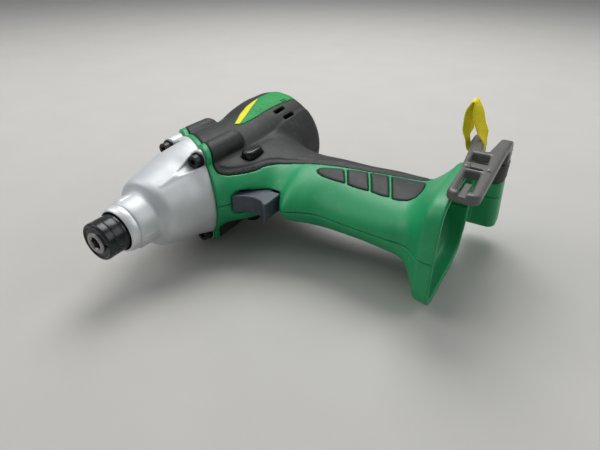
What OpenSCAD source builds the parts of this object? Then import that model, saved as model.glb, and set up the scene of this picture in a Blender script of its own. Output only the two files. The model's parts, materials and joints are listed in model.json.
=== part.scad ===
// Cordless impact driver, pod battery removed, lying on its right side.
// Build axes: X runs down the handle from the drive axis, Y runs back from the
// front face of the bit sleeve, Z points to the tool's left. Everything is
// modelled from the drive axis and set down by place() on the side it lies on.

/* [Drive nose] */
// Radius of the anvil where it shows inside the bit sleeve
anvil_r = 6.0; // [5:0.1:7]
// How far the anvil stands out of the bit sleeve
anvil_out = 1.0; // [0.4:0.1:3]
// Width across the flats of the hexagonal bit socket
hex_af = 6.4; // [6.35:0.05:7]
// Depth of the bit socket
hex_depth = 21; // [14:0.5:24]
// Outer radius of the bit sleeve
sleeve_r = 10.5; // [9.5:0.1:12]
// Length of the bit sleeve
sleeve_l = 15; // [13.5:0.1:16]
// Pull of the bit sleeve when a bit is let go
sleeve_stroke = 3.5; // [2:0.1:3.6]
// Radius of one bit retaining ball
ball_r = 1.75; // [1.5:0.05:1.9]
// Distance of the retaining balls behind the sleeve's front face
ball_y = 10.5; // [10:0.1:11]

/* [Hammer case] */
// Radius of the nose ring and of the case's neck
neck_r = 13.4; // [13:0.1:15]
// Front edge of the nose ring
ring_y = 12.4; // [11:0.1:14]
// Seam between the nose ring and the case
seam_y = 17.6; // [16:0.1:18.5]
// Start of the shoulder behind the neck
shoulder_y = 29; // [28:0.25:31]
// Radius of the case over the hammer
case_mid_r = 23.8; // [23.2:0.1:26]
// Radius of the case and of the housing where they meet
case_r = 30; // [29:0.1:32]
// Wall of the case round the hammer
case_wall = 2.4; // [2:0.1:3]
// Where the case meets the housing, measured along the drive axis
joint_y = 75.5; // [73:0.5:80]
// Slant of that joint against the drive axis, in degrees
joint_slant = 28; // [20:1:32]
// Radius of the circle that the four case bolts stand on
bolt_r = 28.2; // [28:0.1:29]
// Angle of the bolts above and below the side of the tool
bolt_angle = 30; // [26:1:34]
// Angle of the two bolts on the far side, away from the handle
far_angle = 37; // [33:1:39]
// Face of the bolt bosses on the case
boss_y = 65; // [62:0.5:67]
// Face of the two bosses on the far side
far_boss_y = 73; // [70:0.5:74]
// Radius of the bolt bosses
boss_r = 5.2; // [4.8:0.1:6]
// Radius of a case bolt's thread
bolt_shank_r = 2.0; // [1.8:0.1:2.2]
// Radius of a case bolt's socket head
bolt_head_r = 3.6; // [3.2:0.1:4]
// Length of a case bolt under its head
bolt_l = 36; // [30:1:38]

/* [Housing] */
// Wall of the moulded housing
wall = 2.6; // [2.2:0.1:3]
// Thickness of the soft overmould and grip pads
skin = 1.5; // [1:0.1:1.8]
// Largest radius of the motor housing, near its tail
tail_r = 35; // [33:0.5:36]
// Tail of the motor housing behind the sleeve's front face
tail_y = 174; // [172:1:180]
// Width of the bare green band behind the case
band = 4.5; // [3:0.5:7]
// Radius of the bulges over the bolts
bulge_r = 7; // [6.4:0.1:7.2]
// Rear end of those bulges
bulge_end = 103; // [102:1:106]
// Rear end of the two bulges on the far side
far_bulge_end = 116; // [115:1:119]
// Height of the label's plate above the housing
label_t = 0.6; // [0.4:0.1:1]

/* [Handle and foot] */
// Front of the handle under the finger rest
grip_front = 80.5; // [78:0.5:83]
// Depth of the handle from front to back
grip_depth = 47.5; // [45:0.5:52]
// Half the thickness of the handle
grip_half = 18.6; // [17.5:0.1:21]
// Front of the battery foot
foot_front = 69; // [66:0.5:71]
// Depth of the battery foot from front to back
foot_depth = 68; // [65:0.5:70]
// Half the thickness of the battery foot
foot_half = 31.6; // [30:0.2:32]
// Rim of the foot, measured down from the drive axis
rim_x = 152; // [150:0.5:156]
// Height of the foot's straight rim band
rim_band = 7.5; // [6:0.5:11]
// Wall of the foot at its rim
rim_wall = 2.8; // [2.4:0.1:3.4]

/* [Controls] */
// Half the thickness of the trigger
trigger_half = 5.5; // [5:0.1:7]
// Travel of the trigger
trigger_travel = 7; // [4:0.5:7.5]
// Top of the trigger
trigger_x0 = 34; // [34:0.5:36]
// Bottom of the trigger
trigger_x1 = 56.5; // [56:0.5:59]
// Height of the reversing button's centre below the drive axis
button_x = 29.3; // [28.8:0.1:29.5]
// Distance of the reversing button behind the sleeve's front face
button_y = 96; // [95.5:0.5:98]
// Radius of the reversing button's round ends
button_r = 4; // [3.4:0.1:4]
// Half of the reversing button's travel
button_travel = 2.2; // [1.5:0.1:2.5]
// Running clearance round the controls
clear = 0.35; // [0.25:0.05:0.5]

/* [Impact mechanism] */
// Outer radius of the hammer
hammer_r = 19.3; // [18.5:0.1:19.8]
// Front face of the hammer's body
hammer_y = 41; // [40.5:0.1:42]
// Length of the hammer's body
hammer_l = 17; // [15:0.5:18]
// Radius of the spindle inside the hammer
spindle_r = 7.0; // [6.5:0.1:7.5]
// Retraction of the hammer at a blow
hammer_stroke = 6; // [5:0.25:6.2]
// Running clearance of shafts in their bores
run = 0.05; // [0.03:0.01:0.08]
// Module of the gear teeth
gear_m = 0.8; // [0.78:0.01:0.82]
// Front plate of the planet carrier
carrier_y = 66; // [65.5:0.25:67]
// Width of the planet gears
planet_w = 8; // [7:0.25:9]

/* [Motor] */
// Outer radius of the motor can
motor_r = 20.5; // [19:0.1:21]
// Front of the motor can
motor_y = 92; // [91:0.5:94]
// Length of the motor can
motor_l = 56; // [50:1:58]
// Radius of the motor shaft
shaft_r = 2.5; // [2.2:0.1:2.6]
// Radius of the cooling fan
fan_r = 18.5; // [16:0.5:20]

/* [Hook and strap] */
// Front face of the pod that carries the hook
pod_y = 152.5; // [150:0.5:156]
// Depth of the pod from front to back
pod_d = 18; // [17:0.5:20]
// Lower end of the pod below the drive axis
pod_x1 = 166.5; // [165:0.5:168]
// Upper end of the pod below the drive axis
pod_x0 = 143.5; // [143:0.5:145]
// Right end of the pod, measured from the mid plane
pod_low = 20.5; // [18:0.5:24]
// Height above the mid plane at which the turning hub starts
hub_low = 9.5; // [8:0.5:11]
// Height above the mid plane of the hub's top
hub_top = 20.5; // [19:0.5:22]
// Underside of the hook's plate above the mid plane
plate_low = 32.2; // [32:0.1:33]
// Thickness of the hook's plate
plate_t = 5.2; // [4:0.1:6]
// Width of the hook's plate
plate_w = 15; // [14:0.2:16]
// Reach of the hook's plate forward of the pod
plate_reach = 77; // [74:1:80]
// Width of one rail of the hook
rail_w = 5; // [4.6:0.1:5.4]
// Width of the strap's webbing
strap_w = 9; // [7:0.5:9]
// Thickness of the strap's webbing
strap_t = 1.1; // [0.8:0.1:1.4]
// Height of the strap's tip above the mid plane
strap_tip = 57; // [54:0.5:60]

/* [Hidden] */
$fn = 64;

big = 400;
// Gear train: teeth of the sun, the planets and the ring
sun_z = 8;
planet_z = 16;
ring_z = sun_z + 2 * planet_z;
planet_r = gear_m * (sun_z + planet_z) / 2;
planet_y = carrier_y + 3.3;
carrier_back = planet_y + planet_w + 0.3;
carrier_r = planet_r + 5.4;
ring_r = gear_m * ring_z / 2 + 3.6;
cover_r = ring_r + 3.8;
cover_back = carrier_back + 8.4;

// Bolts: where they stand, seen along the drive axis
// (even bolts stand on the far side, odd ones beside the handle)
function far(i) = i % 2 == 0;
function bolt_at(i) = let (a = far(i) ? far_angle : bolt_angle)
    [(far(i) ? -1 : 1) * bolt_r * sin(a), (i < 2 ? 1 : -1) * bolt_r * cos(a)];
function boss_at(i) = far(i) ? far_boss_y : boss_y;
// The joint between case and housing at a given X
function joint_at(x, gap = 0) = joint_y + gap - x * tan(joint_slant);

// Outside radius of the motor housing along Y, from front to tail
housing_profile = [
    [joint_y - 24, case_r], [joint_y + 16, case_r - 0.2], [motor_y + 16, case_r - 0.7],
    [motor_y + 26, case_r - 0.5], [motor_y + 36, case_r + 1], [tail_y - 36, tail_r - 1.8],
    [tail_y - 24, tail_r - 0.2], [tail_y - 15, tail_r], [tail_y - 8, tail_r],
    [tail_y - 5, tail_r - 0.7], [tail_y - 2.5, tail_r - 2], [tail_y - 0.8, tail_r - 3.6], [tail_y, tail_r - 5.4]];

// Rows of the handle: [x, front y, back y, half thickness, squareness, lean];
// lean moves the widest place back and makes the front slimmer
grip_back = grip_front + grip_depth;
foot_back = foot_front + foot_depth;
band_x = rim_x - rim_band;
grip_rows = [
    [24, grip_front - 22, grip_back + 24, case_r - 8.4, 2.6, 0],
    [35, grip_front - 14, grip_back + 17, grip_half + 1.4, 2.3, 1],
    [46, grip_front - 2, grip_back + 10, grip_half - 0.8, 2.2, 2.5],
    [56, grip_front - 1, grip_back + 6, grip_half - 1.2, 2.2, 3.5],
    [63, grip_front - 6, grip_back + 4.8, grip_half - 1, 2.2, 4.5],
    [71, grip_front - 2.6, grip_back + 4, grip_half - 0.4, 2.2, 4],
    [81, grip_front + 0.8, grip_back + 3.4, grip_half, 2.2, 3.4],
    [96, grip_front - 0.4, grip_back + 5.2, grip_half - 0.8, 2.2, 3.4],
    [110, grip_front - 1.2, grip_back + 7.6, grip_half - 1.2, 2.3, 3.4],
    [band_x - 21, grip_front - 2, grip_back + 8.2, grip_half - 1.4, 2.4, 2.6],
    [band_x - 14, grip_front - 2, grip_back + 8.4, grip_half - 1, 2.6, 2],
    [band_x - 8.5, foot_front + 8, foot_back + 0.2, grip_half + 2.6, 3, 2],
    [band_x - 3, foot_front + 3, foot_back, foot_half - 4.4, 4, 0],
    [band_x, foot_front + 0.6, foot_back, foot_half - 1.4, 5, 0],
    [rim_x, foot_front, foot_back, foot_half, 5.2, 0]];
last_row = len(grip_rows) - 1;

// Smooth curve through a list of rows, and one ring of the handle
function blend(a, b, c, d, t) = 0.5 * (2 * b + (c - a) * t
    + (2 * a - 5 * b + 4 * c - d) * t * t + (3 * b - a - 3 * c + d) * t * t * t);
function row_at(rows, u) = let (n = len(rows) - 1, i = min(floor(u), n - 1), t = u - i)
    [for (k = [0:5]) blend(rows[max(i - 1, 0)][k], rows[i][k], rows[i + 1][k],
                           rows[min(i + 2, n)][k], t)];
function bend(c, p) = sign(c) * pow(abs(c), p);
function ring_of(r, inset, n) = [for (j = [0:n - 1]) let (a = 360 * j / n)
    let (s = sign(cos(a)), q = 2 / (r[4] - s * r[5] / 8))
    [r[0], (r[1] + r[2]) / 2 + r[5] - ((r[2] - r[1]) / 2 + s * r[5] - inset) * bend(cos(a), q),
     (r[3] - inset) * bend(sin(a), q)]];

// Solid between rings of points, each triangle facing out
module loft(rings) {
    n = len(rings[0]);
    m = len(rings) - 1;
    polyhedron(points = [for (r = rings) each r], faces = concat(
        [[for (j = [n - 1:-1:0]) j]],
        [for (i = [0:m - 1], j = [0:n - 1]) [i * n + j, (i + 1) * n + (j + 1) % n, (i + 1) * n + j]],
        [for (i = [0:m - 1], j = [0:n - 1]) [i * n + j, i * n + (j + 1) % n, (i + 1) * n + (j + 1) % n]],
        [[for (j = [0:n - 1]) m * n + j]]), convexity = 6);
}

// The handle and foot between two of the rows; inner faces take fewer steps
module grip(inset = 0, first = 0, last = last_row, past = 0) {
    per_row = inset == 0 ? 2 : 1;
    points = inset == 0 ? 32 : 16;
    n = (last - first) * per_row;
    loft([for (i = [0:n]) let (r = row_at(grip_rows, first + i / per_row))
        ring_of([r[0] + (i == n ? past : 0), r[1], r[2], r[3], r[4], r[5]], inset, points)]);
}

// A revolve about the drive axis from [radius, y] points
module turned(points, fn = 96) {
    rotate([-90, 0, 0]) rotate_extrude($fn = fn) polygon(points);
}
// A cylinder along Y at [x, z], from y0 to y1
module rod_y(at, y0, y1, r, fn = 48) {
    translate([at[0], y0, at[1]]) rotate([-90, 0, 0]) cylinder(r = r, h = y1 - y0, $fn = fn);
}
// A tapered round bar from p to q
module taper(p, q, r1, r2) {
    d = q - p;
    translate(p) rotate([0, acos(d[2] / norm(d)), atan2(d[1], d[0])]) cylinder(r1 = r1, r2 = r2, h = norm(d), $fn = 40);
}
// A tube about the drive axis
module tube_y(y0, y1, ro, ri) {
    turned([[ri, y0], [ro, y0], [ro, y1], [ri, y1]]);
}
// Space in front of, or behind, the slanted joint
module before_joint(gap = 0) {
    translate([0, joint_y + gap, 0]) rotate([0, 0, -joint_slant]) translate([-big / 2, -big, -big / 2]) cube([big, big, big]);
}
module behind_joint(gap = 0) {
    translate([0, joint_y + gap, 0]) rotate([0, 0, -joint_slant]) translate([-big / 2, 0, -big / 2]) cube([big, big, big]);
}
// Rounded rectangle from corner to corner
module round_rect(x0, y0, x1, y1, r) {
    translate([x0 + r, y0]) square([x1 - x0 - 2 * r, y1 - y0]);
    translate([x0, y0 + r]) square([x1 - x0, y1 - y0 - 2 * r]);
    for (x = [x0 + r, x1 - r], y = [y0 + r, y1 - r]) translate([x, y]) circle(r = r, $fn = 32);
}
// Unbroken coil of round wire about Z
module coil(r, wire, h, turns, sides = 6, steps = 14) {
    n = round(turns * steps);
    loft([for (i = [0:n]) let (a = 360 * turns * i / n, z = wire + (h - 2 * wire) * i / n)
        [for (j = [0:sides - 1]) let (b = 360 * j / sides, q = r + wire * cos(b))
            [q * cos(a), q * sin(a), z + wire * sin(b)]]]);
}
// Outline of a straight-flanked gear; ring gears use it as their bore
function gear_points(z, add, ded, half) = let (rp = gear_m * z / 2)
    [for (i = [0:z - 1]) each let (c = 360 * i / z) [
        for (q = [[-1, rp - ded, half + 0.26], [-1, rp + add, half - 0.24],
                  [1, rp + add, half - 0.24], [1, rp - ded, half + 0.26]])
            let (w = c + q[0] * q[2] / q[1] * 180 / PI) [q[1] * cos(w), q[1] * sin(w)]]];

/* ---- housing ---- */
function grown(profile, d) = [for (p = profile) [p[1] + d, p[0] + (p[0] > tail_y - 4 ? d : 0)]];
module barrel(inset = 0) {
    turned(concat([[0, housing_profile[0][0]]], grown(housing_profile, -inset), [[0, tail_y - inset]]));
}
module body_outer(inset = 0, last = last_row) {
    barrel(inset);
    for (i = [0:3]) rod_y(bolt_at(i), joint_y - 24, (far(i) ? far_bulge_end : bulge_end) - inset, bulge_r - inset);
    grip(inset, 0, last);
}
// Motor and gear room, with the ribs that hold the motor left standing
module barrel_room() {
    turned([[0, joint_y - 26], [cover_r, joint_y - 26], [cover_r, cover_back + 0.6],
        [cover_r, far_boss_y + bolt_l + 4], [case_r - 1.2 - wall, far_bulge_end], [case_r + 0.8 - wall, motor_y + 36],
        [tail_r - 2 - wall, tail_y - 36], [tail_r - 0.4 - wall, tail_y - 24], [tail_r - 0.2 - wall, tail_y - 9],
        [tail_r - 3 - wall, tail_y - wall - 2], [tail_r - 6 - wall, tail_y - wall], [0, tail_y - wall]]);
}
module motor_ribs() {
    for (y = [motor_y + 3, motor_y + motor_l - 6]) difference() {
        tube_y(y, y + 2.4, tail_r, motor_r);
        rod_y([0, 0], y - 1, y + 4, motor_r);
        translate([button_x - button_r - 2, y - 1, -big / 2]) cube([big, 5, big]);
    }
    difference() {
        rod_y([0, 0], tail_y - 14, tail_y - wall + 0.5, 9.5);
        rod_y([0, 0], tail_y - 15, tail_y - 7, 6.5);
        rod_y([0, 0], tail_y - 15, tail_y - 5, shaft_r + 1);
    }
}
// Side view of the soft cover on the motor housing and down the handle's back
module cover_side() {
    polygon([[-50, joint_at(-50, band)], [button_x - 7, joint_at(button_x - 7, band)],
        [button_x - 4.8, joint_at(button_x - 4.8, band) + 0.8], [button_x - 3.6, grip_front - 11.4],
        [button_x - 0.5, grip_front - 8.4], [button_x + 3.3, grip_front - 4.1], [button_x + 6.9, grip_front + 0.8],
        [button_x + 9.4, button_y - 9.8], [button_x + 10.9, button_y - 5.1], [button_x + 12.9, button_y - 1.1],
        [trigger_x0 + 12.3, grip_back - 28.4], [trigger_x1 - 3.1, grip_back - 24.6], [trigger_x1 + 8, grip_back - 21.4],
        [trigger_x1 + 19.8, grip_back - 19.4], [band_x - 59, grip_back - 17.2], [band_x - 50.6, grip_back - 14.8],
        [band_x - 42, grip_back - 12.6], [band_x - 33.4, grip_back - 10.8], [band_x - 25, grip_back - 8.9],
        [band_x - 18, grip_back - 7.6], [band_x - 14.6, grip_back - 5.8], [band_x - 12.8, grip_back - 2], [band_x - 12.4, grip_back + 3],
        [band_x - 12.4, tail_y + 16], [-50, tail_y + 16],
        // the housing shows through a window on the far side
        [-50, far_bulge_end + 7.5], [-13.4, far_bulge_end + 7.5], [-13.4, far_bulge_end - 1.6], [-50, far_bulge_end - 1.6]]);
}
// Side view of the four grip pads
module pad_side() {
    for (p = [[[71, 101.2], [71.6, 103], [74.2, 104.3], [85, 107.4], [90.8, 97.4], [85, 97], [78, 97.4], [73.2, 98.8]],
              [[86.9, 108.4], [97.5, 112.6], [105.4, 96.8], [99.5, 96.6], [92.8, 97.3]],
              [[99.5, 113], [109.2, 115.2], [117.6, 95.9], [112.5, 95.9], [107.3, 96.7]],
              [[111.2, 115.5], [119.8, 117.2], [129.2, 118.6], [131, 114], [131.8, 105.4], [130.7, 99.4], [127.7, 96.2], [123.1, 95], [119.6, 95.4]]])
        polygon([for (q = p) [q[0] + band_x - 144.5, q[1] + grip_back - 128]]);
}
module soft_side(t = 0) {
    translate([0, 0, -big / 2]) linear_extrude(big) cover_side();
}
module pads_space() {
    for (s = [-1, 1]) translate([0, 0, s > 0 ? 9 : -49]) linear_extrude(40) pad_side();
}
// Side view of the label on the left of the motor housing
module label_side() {
    polygon([for (q = [[4.4, 64.6], [6.4, 62], [7.6, 57.7], [9.9, 42.3], [12.2, 26.2], [13.4, 14], [13.6, 6], [12.4, 4.6],
        [0, 5.4], [-3.4, 7.4], [-4.6, 11], [-4.8, 22], [-4.8, 30.5], [-4.5, 40.6], [-2.3, 50.1], [2.7, 61.3]])
        [q[0], tail_y - q[1]]]);
}
module trigger_slot() {
    translate([trigger_x0 - clear, 50, -trigger_half - clear])
        cube([trigger_x1 - trigger_x0 + 2 * clear, trigger_neck + trigger_travel + clear - 50, 2 * (trigger_half + clear)]);
    translate([trigger_x0 + 6 - clear, 50, -trigger_half - clear])
        cube([trigger_x1 - trigger_x0 - 12 + 2 * clear, 46, 2 * (trigger_half + clear)]);
}
module button_shape(grow = 0) {
    for (y = [-2.4, 2.4]) translate([0, y]) circle(r = button_r + grow, $fn = 40);
    translate([-button_r - grow, -2.4]) square([2 * (button_r + grow), 4.8]);
}
module button_slot() {
    translate([button_x, button_y, -big / 2]) linear_extrude(big) button_shape(clear);
}
// Two air slots on each side, at an angle from the handle
module vents() {
    for (s = [-1, 1], v = [[63, tail_y - 33], [51.5, tail_y - 30.6]]) rotate([0, -s * v[0], 0])
        translate([tail_r - 9, v[1], -1.3]) cube([14, 10.4, 2.6]);
}
// Screw stations, seen from the side: [x, y]
screw_at = [[-25.6, motor_y + 22], [-27.2, tail_y - 22], [28, tail_y - 40],
            [67, grip_front + 12], [rim_x - 24, grip_back - 5.5]];
function screw_top(i) = i < 3 ? 10 : 7;
function screw_head(i) = i < 3 ? -16 : -9;
module screw_bosses() {
    for (i = [0:len(screw_at) - 1]) translate([screw_at[i][0], screw_at[i][1], -22])
        cylinder(r = 3.4, h = 46, $fn = 32);
}
module screw_bores() {
    for (i = [0:len(screw_at) - 1]) translate([screw_at[i][0], screw_at[i][1], 0]) {
        translate([0, 0, screw_head(i) - 0.2]) cylinder(r = 1.6, h = screw_top(i) - screw_head(i), $fn = 32);
        translate([0, 0, -60]) cylinder(r = 3.1, h = 60 + screw_head(i), $fn = 32);
    }
}
// Tongue behind the foot and the pod that stands across its end
module pod(z0, z1) {
    translate([0, 0, z0]) linear_extrude(z1 - z0) round_rect(pod_x0, pod_y, pod_x1, pod_y + pod_d, 5.5);
}
module tongue() {
    translate([pod_x0 - 1, foot_back - 8, -pod_low + 3]) cube([rim_x - pod_x0, pod_y - foot_back + 12, pod_low + hub_low - 4]);
}
module well() {
    grip(wall, 1, last_row, 1);
}
module shell() {
    difference() {
        union() {
            intersection() { body_outer(); behind_joint(); }
            tongue();
            pod(-pod_low, hub_low);
        }
        difference() {
            union() {
                soft_side();
                pads_space();
            }
            body_outer(skin);
            translate([0, 0, -big / 2]) linear_extrude(big) polygon([[rim_x, 0], [rim_x + 60, 0], [rim_x + 60, 300], [rim_x, 300]]);
        }
        difference() {
            union() {
                barrel_room();
                well();
            }
            motor_ribs();
            screw_bosses();
        }
        for (i = [0:3]) rod_y(bolt_at(i), 30, boss_at(i) + bolt_l + 0.6, bolt_shank_r);
        trigger_slot();
        button_slot();
        vents();
        screw_bores();
        hook_bore();
    }
}
pod_mid = [(pod_x0 + pod_x1) / 2, pod_y + pod_d / 2];
hook_pin_r = 2.5;
module hook_bore() {
    translate([pod_mid[0], pod_mid[1], -pod_low - 1]) cylinder(r = 2.0, h = pod_low - 5, $fn = 32);
    translate([pod_mid[0], pod_mid[1], -4]) cylinder(r = hook_pin_r, h = 40, $fn = 32);
}
module left_half() { translate([-big / 2, -big / 2, 0]) cube([big, big, big / 2]); }
module right_half() { translate([-big / 2, -big / 2, -big / 2]) cube([big, big, big / 2]); }

module housing_left() { color("mediumseagreen") intersection() { shell(); left_half(); } }
module housing_right() { color("mediumseagreen") intersection() { shell(); right_half(); } }

// Rows of the handle that the pads and the soft cover lie between
pad_row = 5;
soft_row = 12;
module overmould() {
    difference() {
        intersection() {
            body_outer(0, soft_row);
            soft_side();
            behind_joint(band);
        }
        body_outer(skin, soft_row + 1);
        button_slot();
        vents();
        screw_bores();
        trigger_slot();
    }
}
module overmould_left() { color("dimgray") intersection() { overmould(); left_half(); } }
module overmould_right() { color("dimgray") intersection() { overmould(); right_half(); } }

module pads() {
    difference() {
        intersection() { grip(0, pad_row, soft_row); pads_space(); }
        grip(skin, pad_row - 1, soft_row + 1);
    }
}
module grip_pads_left() { color("dimgray") intersection() { pads(); left_half(); } }
module grip_pads_right() { color("dimgray") intersection() { pads(); right_half(); } }

module label_plate() {
    color("limegreen") intersection() {
        difference() {
            barrel(-label_t);
            barrel(0);
        }
        translate([0, 0, 15]) linear_extrude(30) label_side();
    }
}

/* ---- hammer case and nose ---- */
case_profile = [[neck_r, seam_y], [neck_r + 0.5, seam_y + 3], [neck_r + 1, shoulder_y - 1],
    [neck_r + 1.5, shoulder_y + 1], [neck_r + 3.4, shoulder_y + 2.4], [neck_r + 5.6, shoulder_y + 3.6],
    [neck_r + 7, shoulder_y + 5.6], [case_mid_r - 2.2, shoulder_y + 10], [case_mid_r, shoulder_y + 19],
    [case_mid_r + 1.7, shoulder_y + 26], [case_r - 2.2, shoulder_y + 32], [case_r - 0.4, shoulder_y + 38],
    [case_r, shoulder_y + 43]];
hammer_room_r = case_mid_r - case_wall - 1.3;
module case_body() {
    turned(concat([[0, seam_y - 3], [neck_r - 1.1, seam_y - 3], [neck_r - 1.1, seam_y]], case_profile,
        [[case_r, joint_y + 30], [0, joint_y + 30]]));
    for (i = [0:3]) {
        rod_y(bolt_at(i), boss_at(i), joint_y + 30, boss_r);
        // a fairing rises from the flank of the case to the boss
        b = bolt_at(i);
        lead = far(i) ? 0.8 : 0.73;
        taper([b[0] * lead, boss_at(i) - 27, b[1] * lead], [b[0] * 0.9, boss_at(i), b[1] * 0.9], 0.6, boss_r - 0.8);
    }
    // two long pads on each side of the neck
    for (a = [20, 70, 200, 250]) rotate([0, a, 0]) translate([0, seam_y + 2.4, 0]) intersection() {
        turned([[0, 0], [neck_r + 0.8, 0], [neck_r + 1.1, 7.6], [0, 7.6]]);
        translate([0, -1, -2.6]) cube([40, 12, 5.2]);
    }
}
module hammer_case() {
    color("silver") difference() {
        intersection() { case_body(); before_joint(); }
        // mouth, bush seat, anvil room, hammer room and gear room
        turned([[0, seam_y - 5], [neck_r - 2.2, seam_y - 5], [neck_r - 2.2, bush_y], [bush_r, bush_y],
            [bush_r, shoulder_y + 2], [bush_r + 2.6, shoulder_y + 2], [bush_r + 2.6, shoulder_y + 3.2],
            [hammer_room_r - 2.9, shoulder_y + 4.6], [hammer_room_r - 2.4, hammer_y - 2],
            [hammer_room_r, hammer_y - 0.8], [hammer_room_r, carrier_y - 7], [cover_r, carrier_y - 2.6],
            [cover_r, joint_y + 40], [0, joint_y + 40]]);
        for (i = [0:3]) {
            rod_y(bolt_at(i), boss_at(i) - 1, joint_y + 32, bolt_shank_r + 0.2);
            rod_y(bolt_at(i), boss_at(i) - (far(i) ? 18 : 7.5), boss_at(i), bolt_head_r + 1.1);
        }
    }
}
module nose_ring() {
    color("gainsboro") turned([[neck_r - 2.2, ring_y + 0.4], [neck_r - 1.9, ring_y], [neck_r - 1.3, ring_y + 0.3],
        [neck_r - 0.7, ring_y + 1.2], [neck_r - 0.2, ring_y + 2.6], [neck_r, ring_y + 3.8], [neck_r, seam_y - 0.2], [neck_r - 0.2, seam_y],
        [neck_r - 1.1, seam_y], [neck_r - 1.1, seam_y - 3], [neck_r - 2.2, seam_y - 3]]);
}

/* ---- bit sleeve and anvil ---- */
land_y = ball_y - 2;
pocket_r = anvil_r + 2.6;
module bit_sleeve() {
    color([0.08, 0.08, 0.09]) turned([[pocket_r, 0.5], [sleeve_r - 0.8, 0], [sleeve_r - 0.2, 0.4], [sleeve_r, 1.2],
        [sleeve_r, 4.6], [sleeve_r - 0.35, 5], [sleeve_r - 0.35, sleeve_l - 0.6], [sleeve_r - 0.9, sleeve_l],
        [anvil_r + 2.1, sleeve_l], [anvil_r + 2.1, ball_y + 2.4], [anvil_r + run * 2, ball_y + 2],
        [anvil_r + run * 2, land_y], [pocket_r, land_y]]);
}
retainer_y = 0.6;
retainer_t = 1.5;
module sleeve_retainer() {
    color([0.16, 0.16, 0.17]) difference() {
        tube_y(retainer_y, retainer_y + retainer_t, pocket_r - 0.12, anvil_r - 0.5);
        // the ring is open so that it snaps into its groove
        translate([0, retainer_y - 1, -0.6]) cube([20, 4, 1.2]);
    }
}
module sleeve_spring() {
    y0 = retainer_y + retainer_t;
    color("slategray") translate([0, y0, 0]) rotate([-90, 0, 0])
        coil((anvil_r + pocket_r) / 2 + 0.1, 0.45, land_y - y0, 2.6, 6, 14);
}
bush_y = 17;
bush_in = anvil_r + 1.0;
bush_r = neck_r - 2.9;
head_y = shoulder_y + 2.9;
lug_y = shoulder_y + 5;
lug_end = hammer_y - 1;
lug_r = hammer_room_r - 3.6;
pilot_r = spindle_r / 2;
// One sector of a ring about the drive axis, centred on an angle
module sector(y0, y1, ri, ro, centre, half) {
    rotate([0, -centre - half, 0]) rotate([-90, 0, 0]) rotate([0, 0, 0])
        translate([0, 0, y0]) rotate_extrude(angle = 2 * half, $fn = 96) translate([ri, 0]) square([ro - ri, y1 - y0]);
}
module anvil() {
    color("lightsteelblue") difference() {
        union() {
            turned([[0, -anvil_out], [anvil_r - 0.8, -anvil_out], [anvil_r, 0.1 - anvil_out + 0.6],
                [anvil_r, bush_y - 1], [bush_in - run, bush_y - 0.4], [bush_in - run, head_y],
                [bush_r - 1.4, head_y], [bush_r - 1.4, lug_end], [0, lug_end]]);
            for (c = [0, 180]) sector(lug_y, lug_end, 6, lug_r, c, 21);
        }
        // hexagonal socket with a lead-in, ball holes, ring groove, pilot bore
        translate([0, -anvil_out - 1, 0]) rotate([-90, 0, 0]) cylinder(r = hex_af / 2 / cos(30), h = hex_depth + 1, $fn = 6);
        turned([[0, -anvil_out - 0.01], [hex_af / 2 + 1, -anvil_out - 0.01], [hex_af / 2 - 0.4, -anvil_out + 1.3], [0, -anvil_out + 1.3]]);
        for (s = [-1, 1]) translate([0, ball_y, 0]) rotate([0, s * 90, 0]) cylinder(r = ball_r + 0.05, h = anvil_r + 2, $fn = 32);
        tube_y(retainer_y, retainer_y + retainer_t, anvil_r + 2, anvil_r - 0.5);
        rod_y([0, 0], lug_end - 11, lug_end + 1, pilot_r);
    }
}
module detent_balls() {
    color("white") for (s = [-1, 1]) translate([s * (anvil_r - ball_r - 0.02), ball_y, 0]) sphere(r = ball_r, $fn = 32);
}
module anvil_bush() {
    color("goldenrod") tube_y(bush_y, shoulder_y + 2, bush_r, bush_in);
}
module thrust_washer() {
    color("ivory") tube_y(shoulder_y + 2, head_y, bush_r + 2.2, bush_in + 0.1);
}

/* ---- hammer, spindle and gears ---- */
pocket_y = hammer_y + 5.4;
spring_wire = 1.35;
spring_r = hammer_r - 5.2;
module hammer() {
    color("slategray") difference() {
        union() {
            turned([[spindle_r + run, hammer_y], [hammer_r - 1, hammer_y], [hammer_r, hammer_y + 1],
                [hammer_r, hammer_y + hammer_l - 1], [hammer_r - 1, hammer_y + hammer_l],
                [spring_r + spring_wire + 0.5, hammer_y + hammer_l], [spring_r + spring_wire + 0.5, pocket_y],
                [spring_r - spring_wire - 0.5, pocket_y], [spring_r - spring_wire - 0.5, hammer_y + hammer_l - 3],
                [spindle_r + run, hammer_y + hammer_l - 3]]);
            for (c = [62, 242]) sector(hammer_y - 5.6, hammer_y + 0.5, bush_r - 0.8, lug_r + 0.2, c, 26);
        }
        // the two ball tracks, open at the hammer's front face
        for (s = [-1, 1]) {
            rod_y([s * spindle_r, 0], hammer_y - 8, cam_y + 0.3, cam_r + 0.15);
            translate([s * spindle_r, cam_y + 0.3, 0]) sphere(r = cam_r + 0.15, $fn = 40);
        }
    }
}
cam_r = 2.4;
cam_y = hammer_y + 3.6;
module cam_balls() {
    color("white") for (s = [-1, 1]) translate([s * spindle_r, cam_y, 0]) sphere(r = cam_r, $fn = 40);
}
module hammer_spring() {
    color("dimgray") translate([0, pocket_y + 0.05, 0]) rotate([-90, 0, 0])
        coil(spring_r, spring_wire, carrier_y - pocket_y - 0.1, 4.2, 6, 16);
}
function pin_at(i) = [planet_r * cos(120 * i), -planet_r * sin(120 * i)];
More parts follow.
